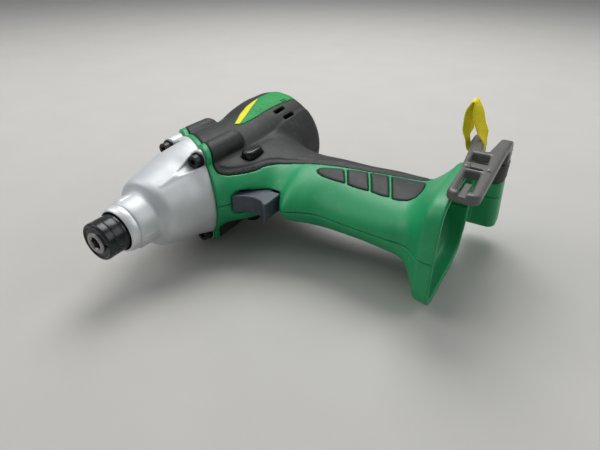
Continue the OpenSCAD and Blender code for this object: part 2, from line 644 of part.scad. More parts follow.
module spindle() {
    color("lightsteelblue") difference() {
        union() {
            turned([[0, lug_end - 10], [pilot_r - run - 0.6, lug_end - 10], [pilot_r - run, lug_end - 9.4],
                [pilot_r - run, lug_end + 0.4], [spindle_r, lug_end + 0.4], [spindle_r, carrier_y],
                [carrier_r, carrier_y], [carrier_r, carrier_y + 3], [0, carrier_y + 3]]);
            tube_y(carrier_back, carrier_back + 2.2, carrier_r, 5);
            tube_y(carrier_back, carrier_back + 7, 6, sun_clear);
            for (i = [0:2]) sector(carrier_y + 2, carrier_back + 1, carrier_r - 3.8, carrier_r - 0.6, 120 * i + 60, 13);
        }
        for (s = [-1, 1]) {
            translate([s * spindle_r, cam_y, 0]) sphere(r = cam_r + 0.02, $fn = 40);
        }
        rod_y([0, 0], carrier_y - 4, carrier_y + 4, sun_clear);
        for (i = [0:2]) rod_y(pin_at(i), carrier_y - 1, carrier_back + 3, pin_r);
    }
}
pin_r = 2.0;
sun_clear = gear_m * sun_z / 2 + 1.1;
module planet_pins() {
    color("white") for (i = [0:2]) rod_y(pin_at(i), carrier_y, carrier_back + 2.2, pin_r);
}
module planet_gear(i) {
    color("slategray") translate([pin_at(i)[0], planet_y, pin_at(i)[1]]) rotate([-90, 0, 0])
        difference() {
            rotate([0, 0, 180 / planet_z]) linear_extrude(planet_w) polygon(gear_points(planet_z, 0.62, 0.86, 0.5));
            translate([0, 0, -1]) cylinder(r = pin_r + run, h = planet_w + 2, $fn = 48);
        }
}
module planet_gear_a() { planet_gear(0); }
module planet_gear_b() { planet_gear(1); }
module planet_gear_c() { planet_gear(2); }
module ring_gear() {
    color("gray") translate([0, planet_y - 0.2, 0]) rotate([-90, 0, 0]) difference() {
        cylinder(r = ring_r, h = planet_w + 0.4, $fn = 96);
        translate([0, 0, -1]) linear_extrude(planet_w + 3)
            rotate([0, 0, 180 / ring_z]) polygon(gear_points(ring_z, 0.86, 0.62, 0.62));
    }
}
bearing_r = 9.5;
module gear_cover() {
    color([0.2, 0.2, 0.21]) turned([[ring_r, carrier_y - 2], [cover_r, carrier_y - 2], [cover_r, cover_back],
        [bearing_r + 2, cover_back], [bearing_r + 2, cover_back + 4.4], [8, cover_back + 4.4],
        [8, cover_back - 0.6], [7, cover_back - 0.6], [7, carrier_back + 7.2], [bearing_r, carrier_back + 7.2],
        [bearing_r, carrier_back + 2.6], [ring_r - 1.6, carrier_back + 2.6], [ring_r - 1.6, planet_y + planet_w + 0.2],
        [ring_r, planet_y + planet_w + 0.2]]);
}
// A ball bearing: outer and inner race with the balls' groove and shield between
module bearing(y0, w, ro, ri) {
    color("silver") turned([[ri, y0], [ri + 1.2, y0], [ri + 1.2, y0 + 0.5], [ro - 1.2, y0 + 0.5], [ro - 1.2, y0],
        [ro, y0], [ro, y0 + w], [ro - 1.2, y0 + w], [ro - 1.2, y0 + w - 0.5], [ri + 1.2, y0 + w - 0.5],
        [ri + 1.2, y0 + w], [ri, y0 + w]]);
}
module spindle_bearing() { bearing(carrier_back + 2.7, 4.4, bearing_r, 6 + run); }

/* ---- motor ---- */
motor_back = motor_y + motor_l;
module front_bearing() { bearing(cover_back - 0.5, 4.8, 8, shaft_r + run); }
module rear_bearing() { bearing(tail_y - 11.5, 4.4, 6.5, shaft_r + run); }
module motor_shaft() {
    color("white") {
        rod_y([0, 0], planet_y + planet_w, tail_y - 6.4, shaft_r);
        translate([0, planet_y - 0.2, 0]) rotate([-90, 0, 0])
            linear_extrude(planet_w + 0.4) polygon(gear_points(sun_z, 0.62, 0.8, 0.46));
    }
}
module armature() {
    color("peru") difference() {
        union() {
            rod_y([0, 0], motor_y + 9, motor_back - 15, motor_r - 4.6);
            turned([[0, motor_y + 5], [9, motor_y + 5], [13.4, motor_y + 9], [13.4, motor_back - 15], [9, motor_back - 11], [0, motor_back - 11]]);
        }
        rod_y([0, 0], motor_y, motor_back, shaft_r);
        for (a = [0:60:300]) rotate([0, a, 0]) translate([motor_r - 7.6, motor_y + 8, -1.1]) cube([6, motor_l - 22, 2.2]);
    }
}
module commutator() {
    color("darkorange") difference() {
        rod_y([0, 0], motor_back - 10, motor_back - 1, 7);
        rod_y([0, 0], motor_back - 11, motor_back, shaft_r);
        for (a = [0:30:150]) rotate([0, a, 0]) translate([-8, motor_back - 9, -0.3]) cube([1.6, 9, 0.6]);
    }
}
module cooling_fan() {
    y0 = motor_back + 2;
    color([0.15, 0.15, 0.16]) difference() {
        union() {
            rod_y([0, 0], y0, y0 + 9, 5.5);
            rod_y([0, 0], y0, y0 + 1.6, fan_r);
            for (a = [0:36:324]) rotate([0, a, 0]) translate([4.5, y0 + 1, -0.7]) cube([fan_r - 5.2, 7, 1.4]);
        }
        rod_y([0, 0], y0 - 1, y0 + 10, shaft_r);
    }
}
module motor_can() {
    color("gray") difference() {
        rod_y([0, 0], motor_y, motor_back - 9, motor_r, 96);
        rod_y([0, 0], motor_y + 1.6, motor_back, motor_r - 1.6, 96);
        rod_y([0, 0], motor_y - 1, motor_y + 4, 7, 64);
        for (a = [45:90:315]) rotate([0, a, 0]) translate([9, motor_y - 1, -2.5]) cube([6, 4, 5]);
    }
}
module motor_magnets() {
    color([0.25, 0.25, 0.26]) for (c = [0, 180]) sector(motor_y + 7, motor_back - 13, motor_r - 4.2, motor_r - 1.6, c, 62);
}
module brush_plate() {
    color([0.2, 0.2, 0.2]) difference() {
        union() {
            tube_y(motor_back - 9, motor_back - 6.6, motor_r, 7.8);
            for (s = [0, 180]) rotate([0, s, 0]) translate([9, motor_back - 7, -3.6]) cube([9.4, 7, 7.2]);
        }
        for (s = [0, 180]) rotate([0, s, 0]) translate([4, motor_back - 6.6, -2.2]) cube([20, 5, 4.4]);
    }
}
module brushes() {
    color("black") for (s = [0, 180]) rotate([0, s, 0]) translate([7.1, motor_back - 6.6, -2.2]) cube([8.4, 5, 4.4]);
}

/* ---- controls ---- */
// Deepest place of the finger curve, rear of the head, rear of the stem
finger_y = grip_front - 8.3;
trigger_neck = grip_front + 1;
trigger_seat = grip_front + 17;
module trigger() {
    color([0.27, 0.3, 0.36]) difference() {
        translate([0, 0, -trigger_half]) linear_extrude(2 * trigger_half) polygon([
            [trigger_x0, finger_y - 5.2], [trigger_x0 + 2, finger_y - 4.4], [trigger_x0 + 7, finger_y - 1.2], [trigger_x0 + 12, finger_y],
            [trigger_x0 + 17, finger_y - 1], [trigger_x1 - 2, finger_y - 3.4], [trigger_x1 - 0.4, finger_y - 3.8], [trigger_x1, finger_y - 2.4],
            [trigger_x1, trigger_neck], [trigger_x1 - 6, trigger_neck], [trigger_x1 - 6, trigger_seat],
            [trigger_x0 + 6, trigger_seat], [trigger_x0 + 6, trigger_neck], [trigger_x0, trigger_neck]]);
        // the front edges are broken and the back is hollow for the return spring
        for (s = [-1, 1]) translate([trigger_x0 - 1, finger_y - 8, s * (trigger_half + 1.4)]) rotate([s * 45, 0, 0]) translate([0, -3, -3]) cube([30, 6, 6]);
        rod_y([trigger_mid, 0], trigger_seat - 8, trigger_seat + 1, 4);
    }
}
trigger_mid = (trigger_x0 + trigger_x1) / 2;
switch_y = trigger_seat + trigger_travel + 0.8;
module trigger_spring() {
    color("silver") translate([trigger_mid, trigger_seat - 8, 0]) rotate([-90, 0, 0])
        coil(2.9, 0.4, switch_y - trigger_seat + 8, 6, 5, 12);
}
module switch_body() {
    color([0.12, 0.12, 0.13]) {
        translate([grip_rows[1][0] + 0.4, switch_y, -8.5]) cube([trigger_x1 + 1 - grip_rows[1][0], 20, 17]);
        translate([trigger_x1 + 1, switch_y + 2, -7]) cube([3.6, 15, 14]);
    }
}
button_half = grip_half + 3.8;
module reversing_button() {
    color("black") difference() {
        translate([button_x, button_y, -button_half]) linear_extrude(2 * button_half) button_shape();
        // waisted in the middle, where the switch's lever enters
        translate([button_x + 1.5, button_y - 2, -3]) cube([9, 4, 6]);
    }
}
module battery_terminals() {
    x0 = trigger_x1 + 4.6;
    color([0.15, 0.15, 0.16]) translate([x0, switch_y + 1, -8]) cube([5, 18, 16]);
    color("gold") for (z = [-4.6, 3.8]) translate([x0 + 5, switch_y + 5, z]) cube([9, 8, 0.8]);
}

/* ---- fasteners ---- */
washer_t = 1.0;
module case_bolts() {
    color([0.1, 0.1, 0.1]) for (i = [0:3]) difference() {
        union() {
            rod_y(bolt_at(i), boss_at(i) - washer_t - 4, boss_at(i) - washer_t, bolt_head_r);
            rod_y(bolt_at(i), boss_at(i) - washer_t - 0.5, boss_at(i) + bolt_l, bolt_shank_r);
        }
        translate([bolt_at(i)[0], boss_at(i) - washer_t - 5, bolt_at(i)[1]]) rotate([-90, 0, 0]) cylinder(r = 1.9, h = 3.4, $fn = 6);
    }
}
module bolt_washers() {
    color([0.2, 0.2, 0.2]) for (i = [0:3]) difference() {
        rod_y(bolt_at(i), boss_at(i) - washer_t, boss_at(i), bolt_head_r + 0.9);
        rod_y(bolt_at(i), boss_at(i) - 3, boss_at(i) + 1, bolt_shank_r);
    }
}
module housing_screws() {
    color([0.15, 0.15, 0.15]) for (i = [0:len(screw_at) - 1]) translate([screw_at[i][0], screw_at[i][1], 0]) difference() {
        union() {
            translate([0, 0, screw_head(i) - 2.4]) cylinder(r = 2.9, h = 2.2, $fn = 32);
            translate([0, 0, screw_head(i) - 0.3]) cylinder(r = 1.6, h = screw_top(i) - screw_head(i) - 3, $fn = 32);
        }
        translate([0, 0, screw_head(i) - 3]) cylinder(r = 1, h = 2, $fn = 6);
    }
}

/* ---- hook and strap ---- */
hook_x1 = pod_x1 - 1.8;
hook_x0 = hook_x1 - plate_w;
plate_y = pod_y - plate_reach;
fork_y = plate_y + 53;
tine_x0 = hook_x0 - rail_w + 0.3;
leg_back = pod_y + pod_d - 3.5;
// Polygon from [x, y, radius] corners, each rounded
function rounded(p, n = 6) = [for (i = [0:len(p) - 1]) each
    let (b = [p[i][0], p[i][1]], a = p[(i + len(p) - 1) % len(p)], c = p[(i + 1) % len(p)], r = p[i][2],
         u = ([a[0], a[1]] - b) / norm([a[0], a[1]] - b), v = ([c[0], c[1]] - b) / norm([c[0], c[1]] - b),
         h = acos(u * v) / 2, m = b + (u + v) / norm(u + v) * r / sin(h))
    [for (k = [0:n]) let (w = (b + u * r / tan(h) - m) * (1 - k / n) + (b + v * r / tan(h) - m) * k / n)
        m + w / norm(w) * r]];
module hook_outline() {
    difference() {
        polygon(rounded([[hook_x0, plate_y, 4.2], [hook_x1, plate_y, 4.2], [hook_x1, pod_y - 1, 2.4],
            [hook_x1 - rail_w - 1, pod_y - 1, 2], [hook_x1 - rail_w - 3, fork_y + 1.5, 1], [hook_x0 + 4, fork_y, 1],
            [tine_x0 + rail_w + 2.2, pod_y - 11.6, 0.3], [tine_x0 + rail_w + 0.1, pod_y - 11.2, 0.3], [tine_x0 + rail_w + 0.1, pod_y + 1.5, 1.6], [tine_x0 - 0.2, pod_y + 1, 2.6],
            [tine_x0, fork_y + 13, 6], [hook_x0 - 2.8, fork_y - 2, 8], [hook_x0 - 0.6, plate_y + 27, 8]]));
        // front window with its spring tongue, and rear window
        difference() {
            polygon([[hook_x0 + 3.6, plate_y + 4.5], [hook_x1 - 4.8, plate_y + 4.5],
                [hook_x1 - 5.8, plate_y + 26], [hook_x0 + 2.4, plate_y + 26]]);
            translate([hook_x0 + 5.2, plate_y]) square([plate_w - 11.6, 15]);
        }
        polygon([[hook_x0 + 1.2, plate_y + 37], [hook_x1 - 5.2, plate_y + 37],
            [hook_x1 - 6.2, plate_y + 49], [hook_x0 + 0.4, plate_y + 49]]);
    }
}
// Side view of a leg, from the tine's end down to the hub: [y, z]
module leg(x0, x1) {
    top = plate_low + plate_t;
    translate([x0, 0, 0]) rotate([90, 0, 90]) linear_extrude(x1 - x0) polygon(rounded([
        [pod_y - 12, plate_low + 0.5, 0.4], [pod_y - 12, top - 0.6, 0.4], [pod_y - 4, top, 4], [pod_y + 8, top - 3.4, 8],
        [leg_back, top - 11, 6], [leg_back, hub_top, 0.4], [pod_y + 3, hub_top, 0.4], [pod_y + 2.4, plate_low - 2, 5]]));
}
module hook_arm() {
    top = plate_low + plate_t;
    color("gray") difference() {
        union() {
            translate([0, 0, plate_low]) linear_extrude(plate_t) hook_outline();
            leg(tine_x0, tine_x0 + rail_w);
            leg(hook_x1 - rail_w, hook_x1);
            // raised thumb pads where the spring bar crosses the rails
            for (x = [hook_x0 + 1.6, hook_x1 - 2.9]) translate([x, plate_y + 31, top - 0.6]) rotate([90, 0, 0])
                translate([0, 0, -2.4]) linear_extrude(4.8) intersection() { circle(r = 1.9, $fn = 32); translate([-5, 0]) square([10, 3]); }
        }
        // the spring tongue and the bars lie lower than the rails
        translate([hook_x0 + 5.2, plate_y + 6, top - 1.6]) cube([plate_w - 11.6, 12, 4]);
        translate([hook_x0 + 2, plate_y + 28, top - 1.4]) cube([plate_w - 7.6, 2.2, 4]);
        // finger ribs on the rear corner of the leg
        for (k = [0:2]) translate([hook_x1 - 0.9, leg_back - 4, hub_top + 1.6 + 2.8 * k]) cube([4, 8, 1.2]);
    }
}
module hook_hub() {
    color([0.24, 0.24, 0.24]) difference() {
        translate([0, 0, hub_low + 0.3]) linear_extrude(hub_top - hub_low - 0.3)
            round_rect(pod_x0, pod_y, pod_x1, pod_y + pod_d, 5.5);
        // finger ribs round the lower rear corner
        for (k = [0:2]) translate([pod_x1 - 1.2, pod_y + 5, hub_low + 2.4 + 2.8 * k]) cube([4, pod_d - 3, 1.2]);
        translate([pod_mid[0], pod_mid[1], hub_low - 1]) cylinder(r = hook_pin_r + run, h = 60, $fn = 48);
        translate([pod_mid[0], pod_mid[1], hub_top - 3]) cylinder(r = 4.2, h = 10, $fn = 48);
    }
}
module hook_screw() {
    color("silver") translate([pod_mid[0], pod_mid[1], 0]) difference() {
        union() {
            translate([0, 0, -4]) cylinder(r = hook_pin_r, h = hub_top - 2 + 4, $fn = 48);
            translate([0, 0, hub_top - 2.7]) cylinder(r = 3.9, h = 2.4, $fn = 48);
        }
        translate([-2.8, -0.6, hub_top - 1.4]) cube([5.6, 1.2, 3]);
    }
}
// Webbing loop round the upper tine, standing up to its folded tip
strap_mid = tine_x0 + rail_w / 2;
strap_path = [[strap_mid - 0.1, plate_low - strap_t - 1.6], [strap_mid - 4.1, plate_low - 1.3],
    [strap_mid - 6.2, plate_low + 4.6], [strap_mid - 7.8, plate_low + 10], [strap_mid - 8.6, plate_low + 16],
    [strap_mid - 8.5, strap_tip - 5], [strap_mid - 7.4, strap_tip - 1.1], [strap_mid - 5.3, strap_tip - 1.9],
    [strap_mid - 2.4, strap_tip - 7.8], [strap_mid - 0.1, plate_low + 13], [strap_mid + 2, plate_low + 8.6],
    [strap_mid + 3.4, plate_low + 4.6], [strap_mid + 3.9, plate_low - 1.1]];
function around(p, u) = let (n = len(p), i = floor(u), t = u - i)
    [for (k = [0, 1]) blend(p[(i + n - 1) % n][k], p[i % n][k], p[(i + 1) % n][k], p[(i + 2) % n][k], t)];
module strap_loop() {
    n = len(strap_path);
    m = 44;
    c = [for (i = [0:m - 1]) around(strap_path, n * i / m)];
    nrm = [for (i = [0:m - 1]) let (d = c[(i + 1) % m] - c[(i + m - 1) % m]) [d[1], -d[0]] / norm(d)];
    color("yellow") translate([0, pod_y - 1 - strap_w, 0]) rotate([90, 0, 0]) mirror([0, 0, 1])
        linear_extrude(strap_w) difference() {
            polygon([for (i = [0:m - 1]) c[i] - nrm[i] * strap_t / 2]);
            polygon([for (i = [0:m - 1]) c[i] + nrm[i] * strap_t / 2]);
        }
}

// Sets the tool down: base in the middle of its outline, lying on its right side
low_x = -tail_r;
high_x = pod_x1;
low_y = -anvil_out;
high_y = tail_y;
module place() {
    translate([-(low_x + high_x) / 2, -(low_y + high_y) / 2, tail_r]) children();
}

place() housing_left();
place() housing_right();
place() overmould_left();
place() overmould_right();
place() grip_pads_left();
place() grip_pads_right();
place() label_plate();
place() hammer_case();
place() nose_ring();
place() bit_sleeve();
place() sleeve_spring();
place() sleeve_retainer();
place() detent_balls();
place() anvil();
place() anvil_bush();
place() thrust_washer();
place() hammer();
place() hammer_spring();
place() spindle();
place() cam_balls();
place() planet_pins();
place() planet_gear_a();
place() planet_gear_b();
place() planet_gear_c();
place() ring_gear();
place() gear_cover();
place() spindle_bearing();
place() front_bearing();
place() motor_shaft();
place() armature();
place() commutator();
place() cooling_fan();
place() motor_can();
place() motor_magnets();
place() brush_plate();
place() brushes();
place() rear_bearing();
place() trigger();
place() trigger_spring();
place() switch_body();
place() reversing_button();
place() battery_terminals();
place() case_bolts();
place() bolt_washers();
place() housing_screws();
place() hook_arm();
place() hook_hub();
place() hook_screw();
place() strap_loop();
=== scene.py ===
"""Looks of a cordless impact driver lying on its right side, without its battery pack.

Lengths are millimetres in the tool's own axes: x runs down the handle from the
drive axis, y runs back from the front face of the bit sleeve, z points to the
tool's left. in_frame() sets them down in the CAD's frame, in metres.

A moulded or cast piece is given by a field: a number for each place, negative
inside the piece and zero on its surface. skin_of() lays a mesh on that surface.
"""

import json
import math

import bmesh
import bpy
import numpy as np
from mathutils import Matrix, Vector


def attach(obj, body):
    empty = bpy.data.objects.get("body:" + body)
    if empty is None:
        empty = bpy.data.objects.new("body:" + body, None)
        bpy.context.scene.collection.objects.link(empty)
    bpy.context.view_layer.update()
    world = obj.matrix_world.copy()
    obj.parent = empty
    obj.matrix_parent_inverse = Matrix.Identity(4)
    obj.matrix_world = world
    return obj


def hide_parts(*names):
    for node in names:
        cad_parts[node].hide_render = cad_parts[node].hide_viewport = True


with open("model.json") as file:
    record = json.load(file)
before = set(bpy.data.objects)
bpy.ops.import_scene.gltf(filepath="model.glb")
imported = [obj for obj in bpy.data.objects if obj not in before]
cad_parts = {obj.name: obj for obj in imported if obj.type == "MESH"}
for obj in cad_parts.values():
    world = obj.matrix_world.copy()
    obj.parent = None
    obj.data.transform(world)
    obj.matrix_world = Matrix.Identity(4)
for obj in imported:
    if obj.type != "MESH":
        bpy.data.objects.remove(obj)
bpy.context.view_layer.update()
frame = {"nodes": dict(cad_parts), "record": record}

# ---- sizes, as in the part's source ----
# Where the tool's own origin lies in the CAD's frame, and the size of a mesh's cubes
SETTING = np.array([-65.75, -86.5, 35.0])
CELL = 0.75
HOUSING_CELL = max(CELL, 0.81)
JOINT_Y, SLANT = 75.5, math.radians(28)
CASE_R, CASE_MID, NECK_R, SEAM_Y, SHOULDER_Y = 30.0, 23.8, 13.4, 17.6, 29.0
TAIL_R, TAIL_Y, WALL, SKIN, BAND = 35.0, 174.0, 2.6, 1.5, 4.5
BOLT_R, BOLT_ANGLE, FAR_ANGLE = 28.2, 30.0, 37.0
BOSS_Y, FAR_BOSS_Y, BOSS_R, HEAD_R = 65.0, 73.0, 5.2, 3.6
BULGE_R, BULGE_END, FAR_BULGE_END = 7.0, 103.0, 116.0
# How far from the drive axis the flanks before the far bolts and the grooves before all heads are cut away
FLANK_CUT, GROOVE_FLOOR = 26.4, 24.4
GRIP_FRONT, GRIP_BACK, GRIP_HALF = 80.5, 128.0, 18.6
FOOT_FRONT, FOOT_BACK, FOOT_HALF, RIM_X, BAND_X = 69.0, 137.0, 31.6, 152.0, 144.5
TRIGGER_HALF, TRIGGER_X0, TRIGGER_X1, CLEAR = 5.5, 34.0, 56.5, 0.35
BUTTON_X, BUTTON_Y, BUTTON_R, BUTTON_LONG, BUTTON_HALF, BUTTON_DIP = 29.3, 95.0, 4.0, 3.6, 24.0, 0.9
# The pod's section: first corner and last corner, the radius of its corners; its lower end, and the hub's ends
POD, POD_CORNER = (143.5, 152.5, 166.5, 170.5), 5.5
POD_LOW, HUB_LOW, HUB_TOP = -20.5, 9.5, 20.5
HOOK_X1, HOOK_X0, PLATE_Y, PLATE_LOW, PLATE_T, RAIL = 164.7, 149.7, 75.5, 32.2, 5.2, 5.0
SLEEVE_R, SLEEVE_L, ANVIL_R = 10.5, 15.0, 6.0
STRAP_T, STRAP_W, STRAP_TIP, STRAP_TWIST = 1.1, 9.0, 58.2, 0.47
PAD_LOW = 9.0

# Turned surfaces: places along the drive axis and their radius
HOUSING_PROFILE = [
    (JOINT_Y - 24, CASE_R), (JOINT_Y + 16, CASE_R - 0.2), (108, CASE_R - 0.7), (118, CASE_R - 0.5),
    (128, CASE_R + 1), (TAIL_Y - 36, TAIL_R - 1.8), (TAIL_Y - 24, TAIL_R - 0.2), (TAIL_Y - 15, TAIL_R),
    (TAIL_Y - 8, TAIL_R), (TAIL_Y - 5, TAIL_R - 0.7), (TAIL_Y - 2.5, TAIL_R - 2), (TAIL_Y - 0.8, TAIL_R - 3.6),
    (TAIL_Y, TAIL_R - 5.4)]
CASE_PROFILE = [
    (SEAM_Y, NECK_R), (SEAM_Y + 3, NECK_R + 0.5), (SHOULDER_Y - 1, NECK_R + 1), (SHOULDER_Y + 1, NECK_R + 1.5),
    (SHOULDER_Y + 2.4, NECK_R + 3.4), (SHOULDER_Y + 3.6, NECK_R + 5.6), (SHOULDER_Y + 5.6, NECK_R + 7),
    (SHOULDER_Y + 10, CASE_MID - 2.2), (SHOULDER_Y + 19, CASE_MID), (SHOULDER_Y + 26, CASE_MID + 1.7),
    (SHOULDER_Y + 32, CASE_R - 2.2), (SHOULDER_Y + 38, CASE_R - 0.4), (SHOULDER_Y + 43, CASE_R), (110, CASE_R)]
# The rooms inside housing and case, their tables read straight from place to place
MOTOR_ROOM = [
    (49, 23.4), (113, 23.4), (116, 26.2), (128, 28.2), (138, 30.4), (150, 32), (165, 32.2), (169.4, 29.4), (171.4, 26.4)]
HAMMER_ROOM = [
    (10, 11.2), (17, 11.2), (17.01, 10.5), (31, 10.5), (31.01, 13.1), (32.2, 13.1), (33.6, 17.2), (39, 17.7),
    (40.2, 20.1), (59, 20.1), (63.4, 23.4), (130, 23.4)]
# Rows of the handle: x, front y, back y, half thickness, squareness, lean
GRIP_ROWS = [
    (24, GRIP_FRONT - 22, GRIP_BACK + 24, CASE_R - 8.4, 2.6, 0),
    (35, GRIP_FRONT - 14, GRIP_BACK + 17, GRIP_HALF + 1.4, 2.3, 1),
    (46, GRIP_FRONT, GRIP_BACK + 10, GRIP_HALF - 0.8, 2.2, 2.5),
    (56, GRIP_FRONT + 1, GRIP_BACK + 6, GRIP_HALF - 1.2, 2.2, 3.5),
    (63, GRIP_FRONT - 6, GRIP_BACK + 4.8, GRIP_HALF - 1, 2.2, 4.5),
    (71, GRIP_FRONT - 2.6, GRIP_BACK + 4, GRIP_HALF - 0.4, 2.2, 4),
    (81, GRIP_FRONT + 0.8, GRIP_BACK + 3.4, GRIP_HALF, 2.2, 3.4),
    (96, GRIP_FRONT - 0.4, GRIP_BACK + 5.2, GRIP_HALF - 0.8, 2.2, 3.4),
    (110, GRIP_FRONT - 1.2, GRIP_BACK + 7.6, GRIP_HALF - 1.2, 2.3, 3.4),
    (BAND_X - 21, GRIP_FRONT - 2, GRIP_BACK + 8.2, GRIP_HALF - 1.4, 2.4, 2.6),
    (BAND_X - 14, GRIP_FRONT - 2, GRIP_BACK + 8.4, GRIP_HALF - 1, 2.6, 2),
    (BAND_X - 8.5, FOOT_FRONT + 8, FOOT_BACK + 0.2, GRIP_HALF + 2.6, 3, 2),
    (BAND_X - 3, FOOT_FRONT + 3, FOOT_BACK, FOOT_HALF - 4.4, 4, 0),
    (BAND_X, FOOT_FRONT + 0.6, FOOT_BACK, FOOT_HALF - 1.4, 5, 0), (RIM_X, FOOT_FRONT, FOOT_BACK, FOOT_HALF, 5.2, 0)]
# Housing screws: x, y and how deep their holes reach
SCREWS = [
    (-25.6, 114, -16), (-27.2, 152, -16), (28, 134, -16), (67, GRIP_FRONT + 12, -9),
    (RIM_X - 24, GRIP_BACK - 5.5, -9)]


def joint_at(x, gap=0.0):
    """Where the slanted joint lies at x: a straight line, falling by the tangent of its slant."""
    return JOINT_Y + gap - x * math.tan(SLANT)


# Side views (x, y): the soft cover, the four grip pads, the label, its sweep and the recess round the trigger
COVER = [
    (-50, joint_at(-50, BAND)), (22.3, joint_at(22.3, BAND)), (24.5, joint_at(24.5, BAND) + 0.8), (25.7, 69.1),
    (28.8, 72.1), (32.6, 76.4), (36.2, 81.3), (38.7, 86.2), (40.2, 90.9), (42.2, 94.9), (46.3, 99.6), (53.4, 103.4),
    (64.5, 106.6), (76.3, 108.6), (85.5, 110.8), (93.9, 113.2), (102.5, 115.4), (111.1, 117.2), (119.5, 119.1),
    (126.5, 120.4), (129.9, 122.2), (131.7, 126), (132.1, 131), (132.1, 190), (-50, 190), (-50, 123.5),
    (-13.4, 123.5), (-13.4, 114.4), (-50, 114.4)]
PADS = [
    [(71, 101.2), (71.6, 103), (74.2, 104.3), (85, 107.4), (90.8, 97.4), (85, 97), (78, 97.4), (73.2, 98.8)],
    [(86.9, 108.4), (97.5, 112.6), (105.4, 96.8), (99.5, 96.6), (92.8, 97.3)],
    [(99.5, 113), (109.2, 115.2), (117.6, 95.9), (112.5, 95.9), (107.3, 96.7)],
    [(111.2, 115.5), (119.8, 117.2), (129.2, 118.6), (131, 114), (131.8, 105.4), (130.7, 99.4), (127.7, 96.2),
     (123.1, 95), (119.6, 95.4)]]
LABEL = [(q[0], TAIL_Y - q[1]) for q in (
    (4.4, 64.6), (6.4, 62), (7.6, 57.7), (9.9, 42.3), (12.2, 26.2), (13.4, 14), (13.6, 6), (12.4, 4.6),
    (0, 5.4), (-3.4, 7.4), (-4.6, 11), (-4.8, 22), (-4.8, 30.5), (-4.5, 40.6), (-2.3, 50.1), (2.7, 61.3))]
SWEEP = [
    (4.4, 108.6), (6.2, 110.8), (6.2, 114), (5.2, 117.1), (3.8, 122.1), (2.1, 128.5), (0.6, 133.9), (-1.4, 141.3),
    (-3.6, 147.8), (-6.4, 152), (-9, 140), (-8, 120), (0, 108.5)]
RECESS = [
    (33.4, 50), (33.4, 70), (35, 73.2), (40, 78.4), (45, 82.6), (50, 84), (54.5, 83.6), (57.2, 81), (57.6, 77),
    (57.6, 50)]


# ---- making meshes ----
def in_frame(points):
    """Tool millimetres to frame metres: a shift and a change of unit."""
    return (np.asarray(points, float) + SETTING) / 1000


def piece(name, points, faces, material):
    """A mesh object from an array of places in tool millimetres and an array of faces."""
    mesh = bpy.data.meshes.new(name)
    points = in_frame(points)
    faces = np.asarray(faces, int)
    mesh.vertices.add(len(points))
    mesh.vertices.foreach_set("co", points.ravel())
    mesh.loops.add(faces.size)
    mesh.loops.foreach_set("vertex_index", faces.ravel())
    mesh.polygons.add(len(faces))
    mesh.polygons.foreach_set("loop_start", np.arange(0, faces.size, faces.shape[1]))
    mesh.polygons.foreach_set("loop_total", np.full(len(faces), faces.shape[1]))
    mesh.polygons.foreach_set("use_smooth", np.full(len(faces), True))
    mesh.update()
    mesh.validate()
    mesh.materials.append(material)
    thing = bpy.data.objects.new(name, mesh)
    bpy.context.scene.collection.objects.link(thing)
    return thing


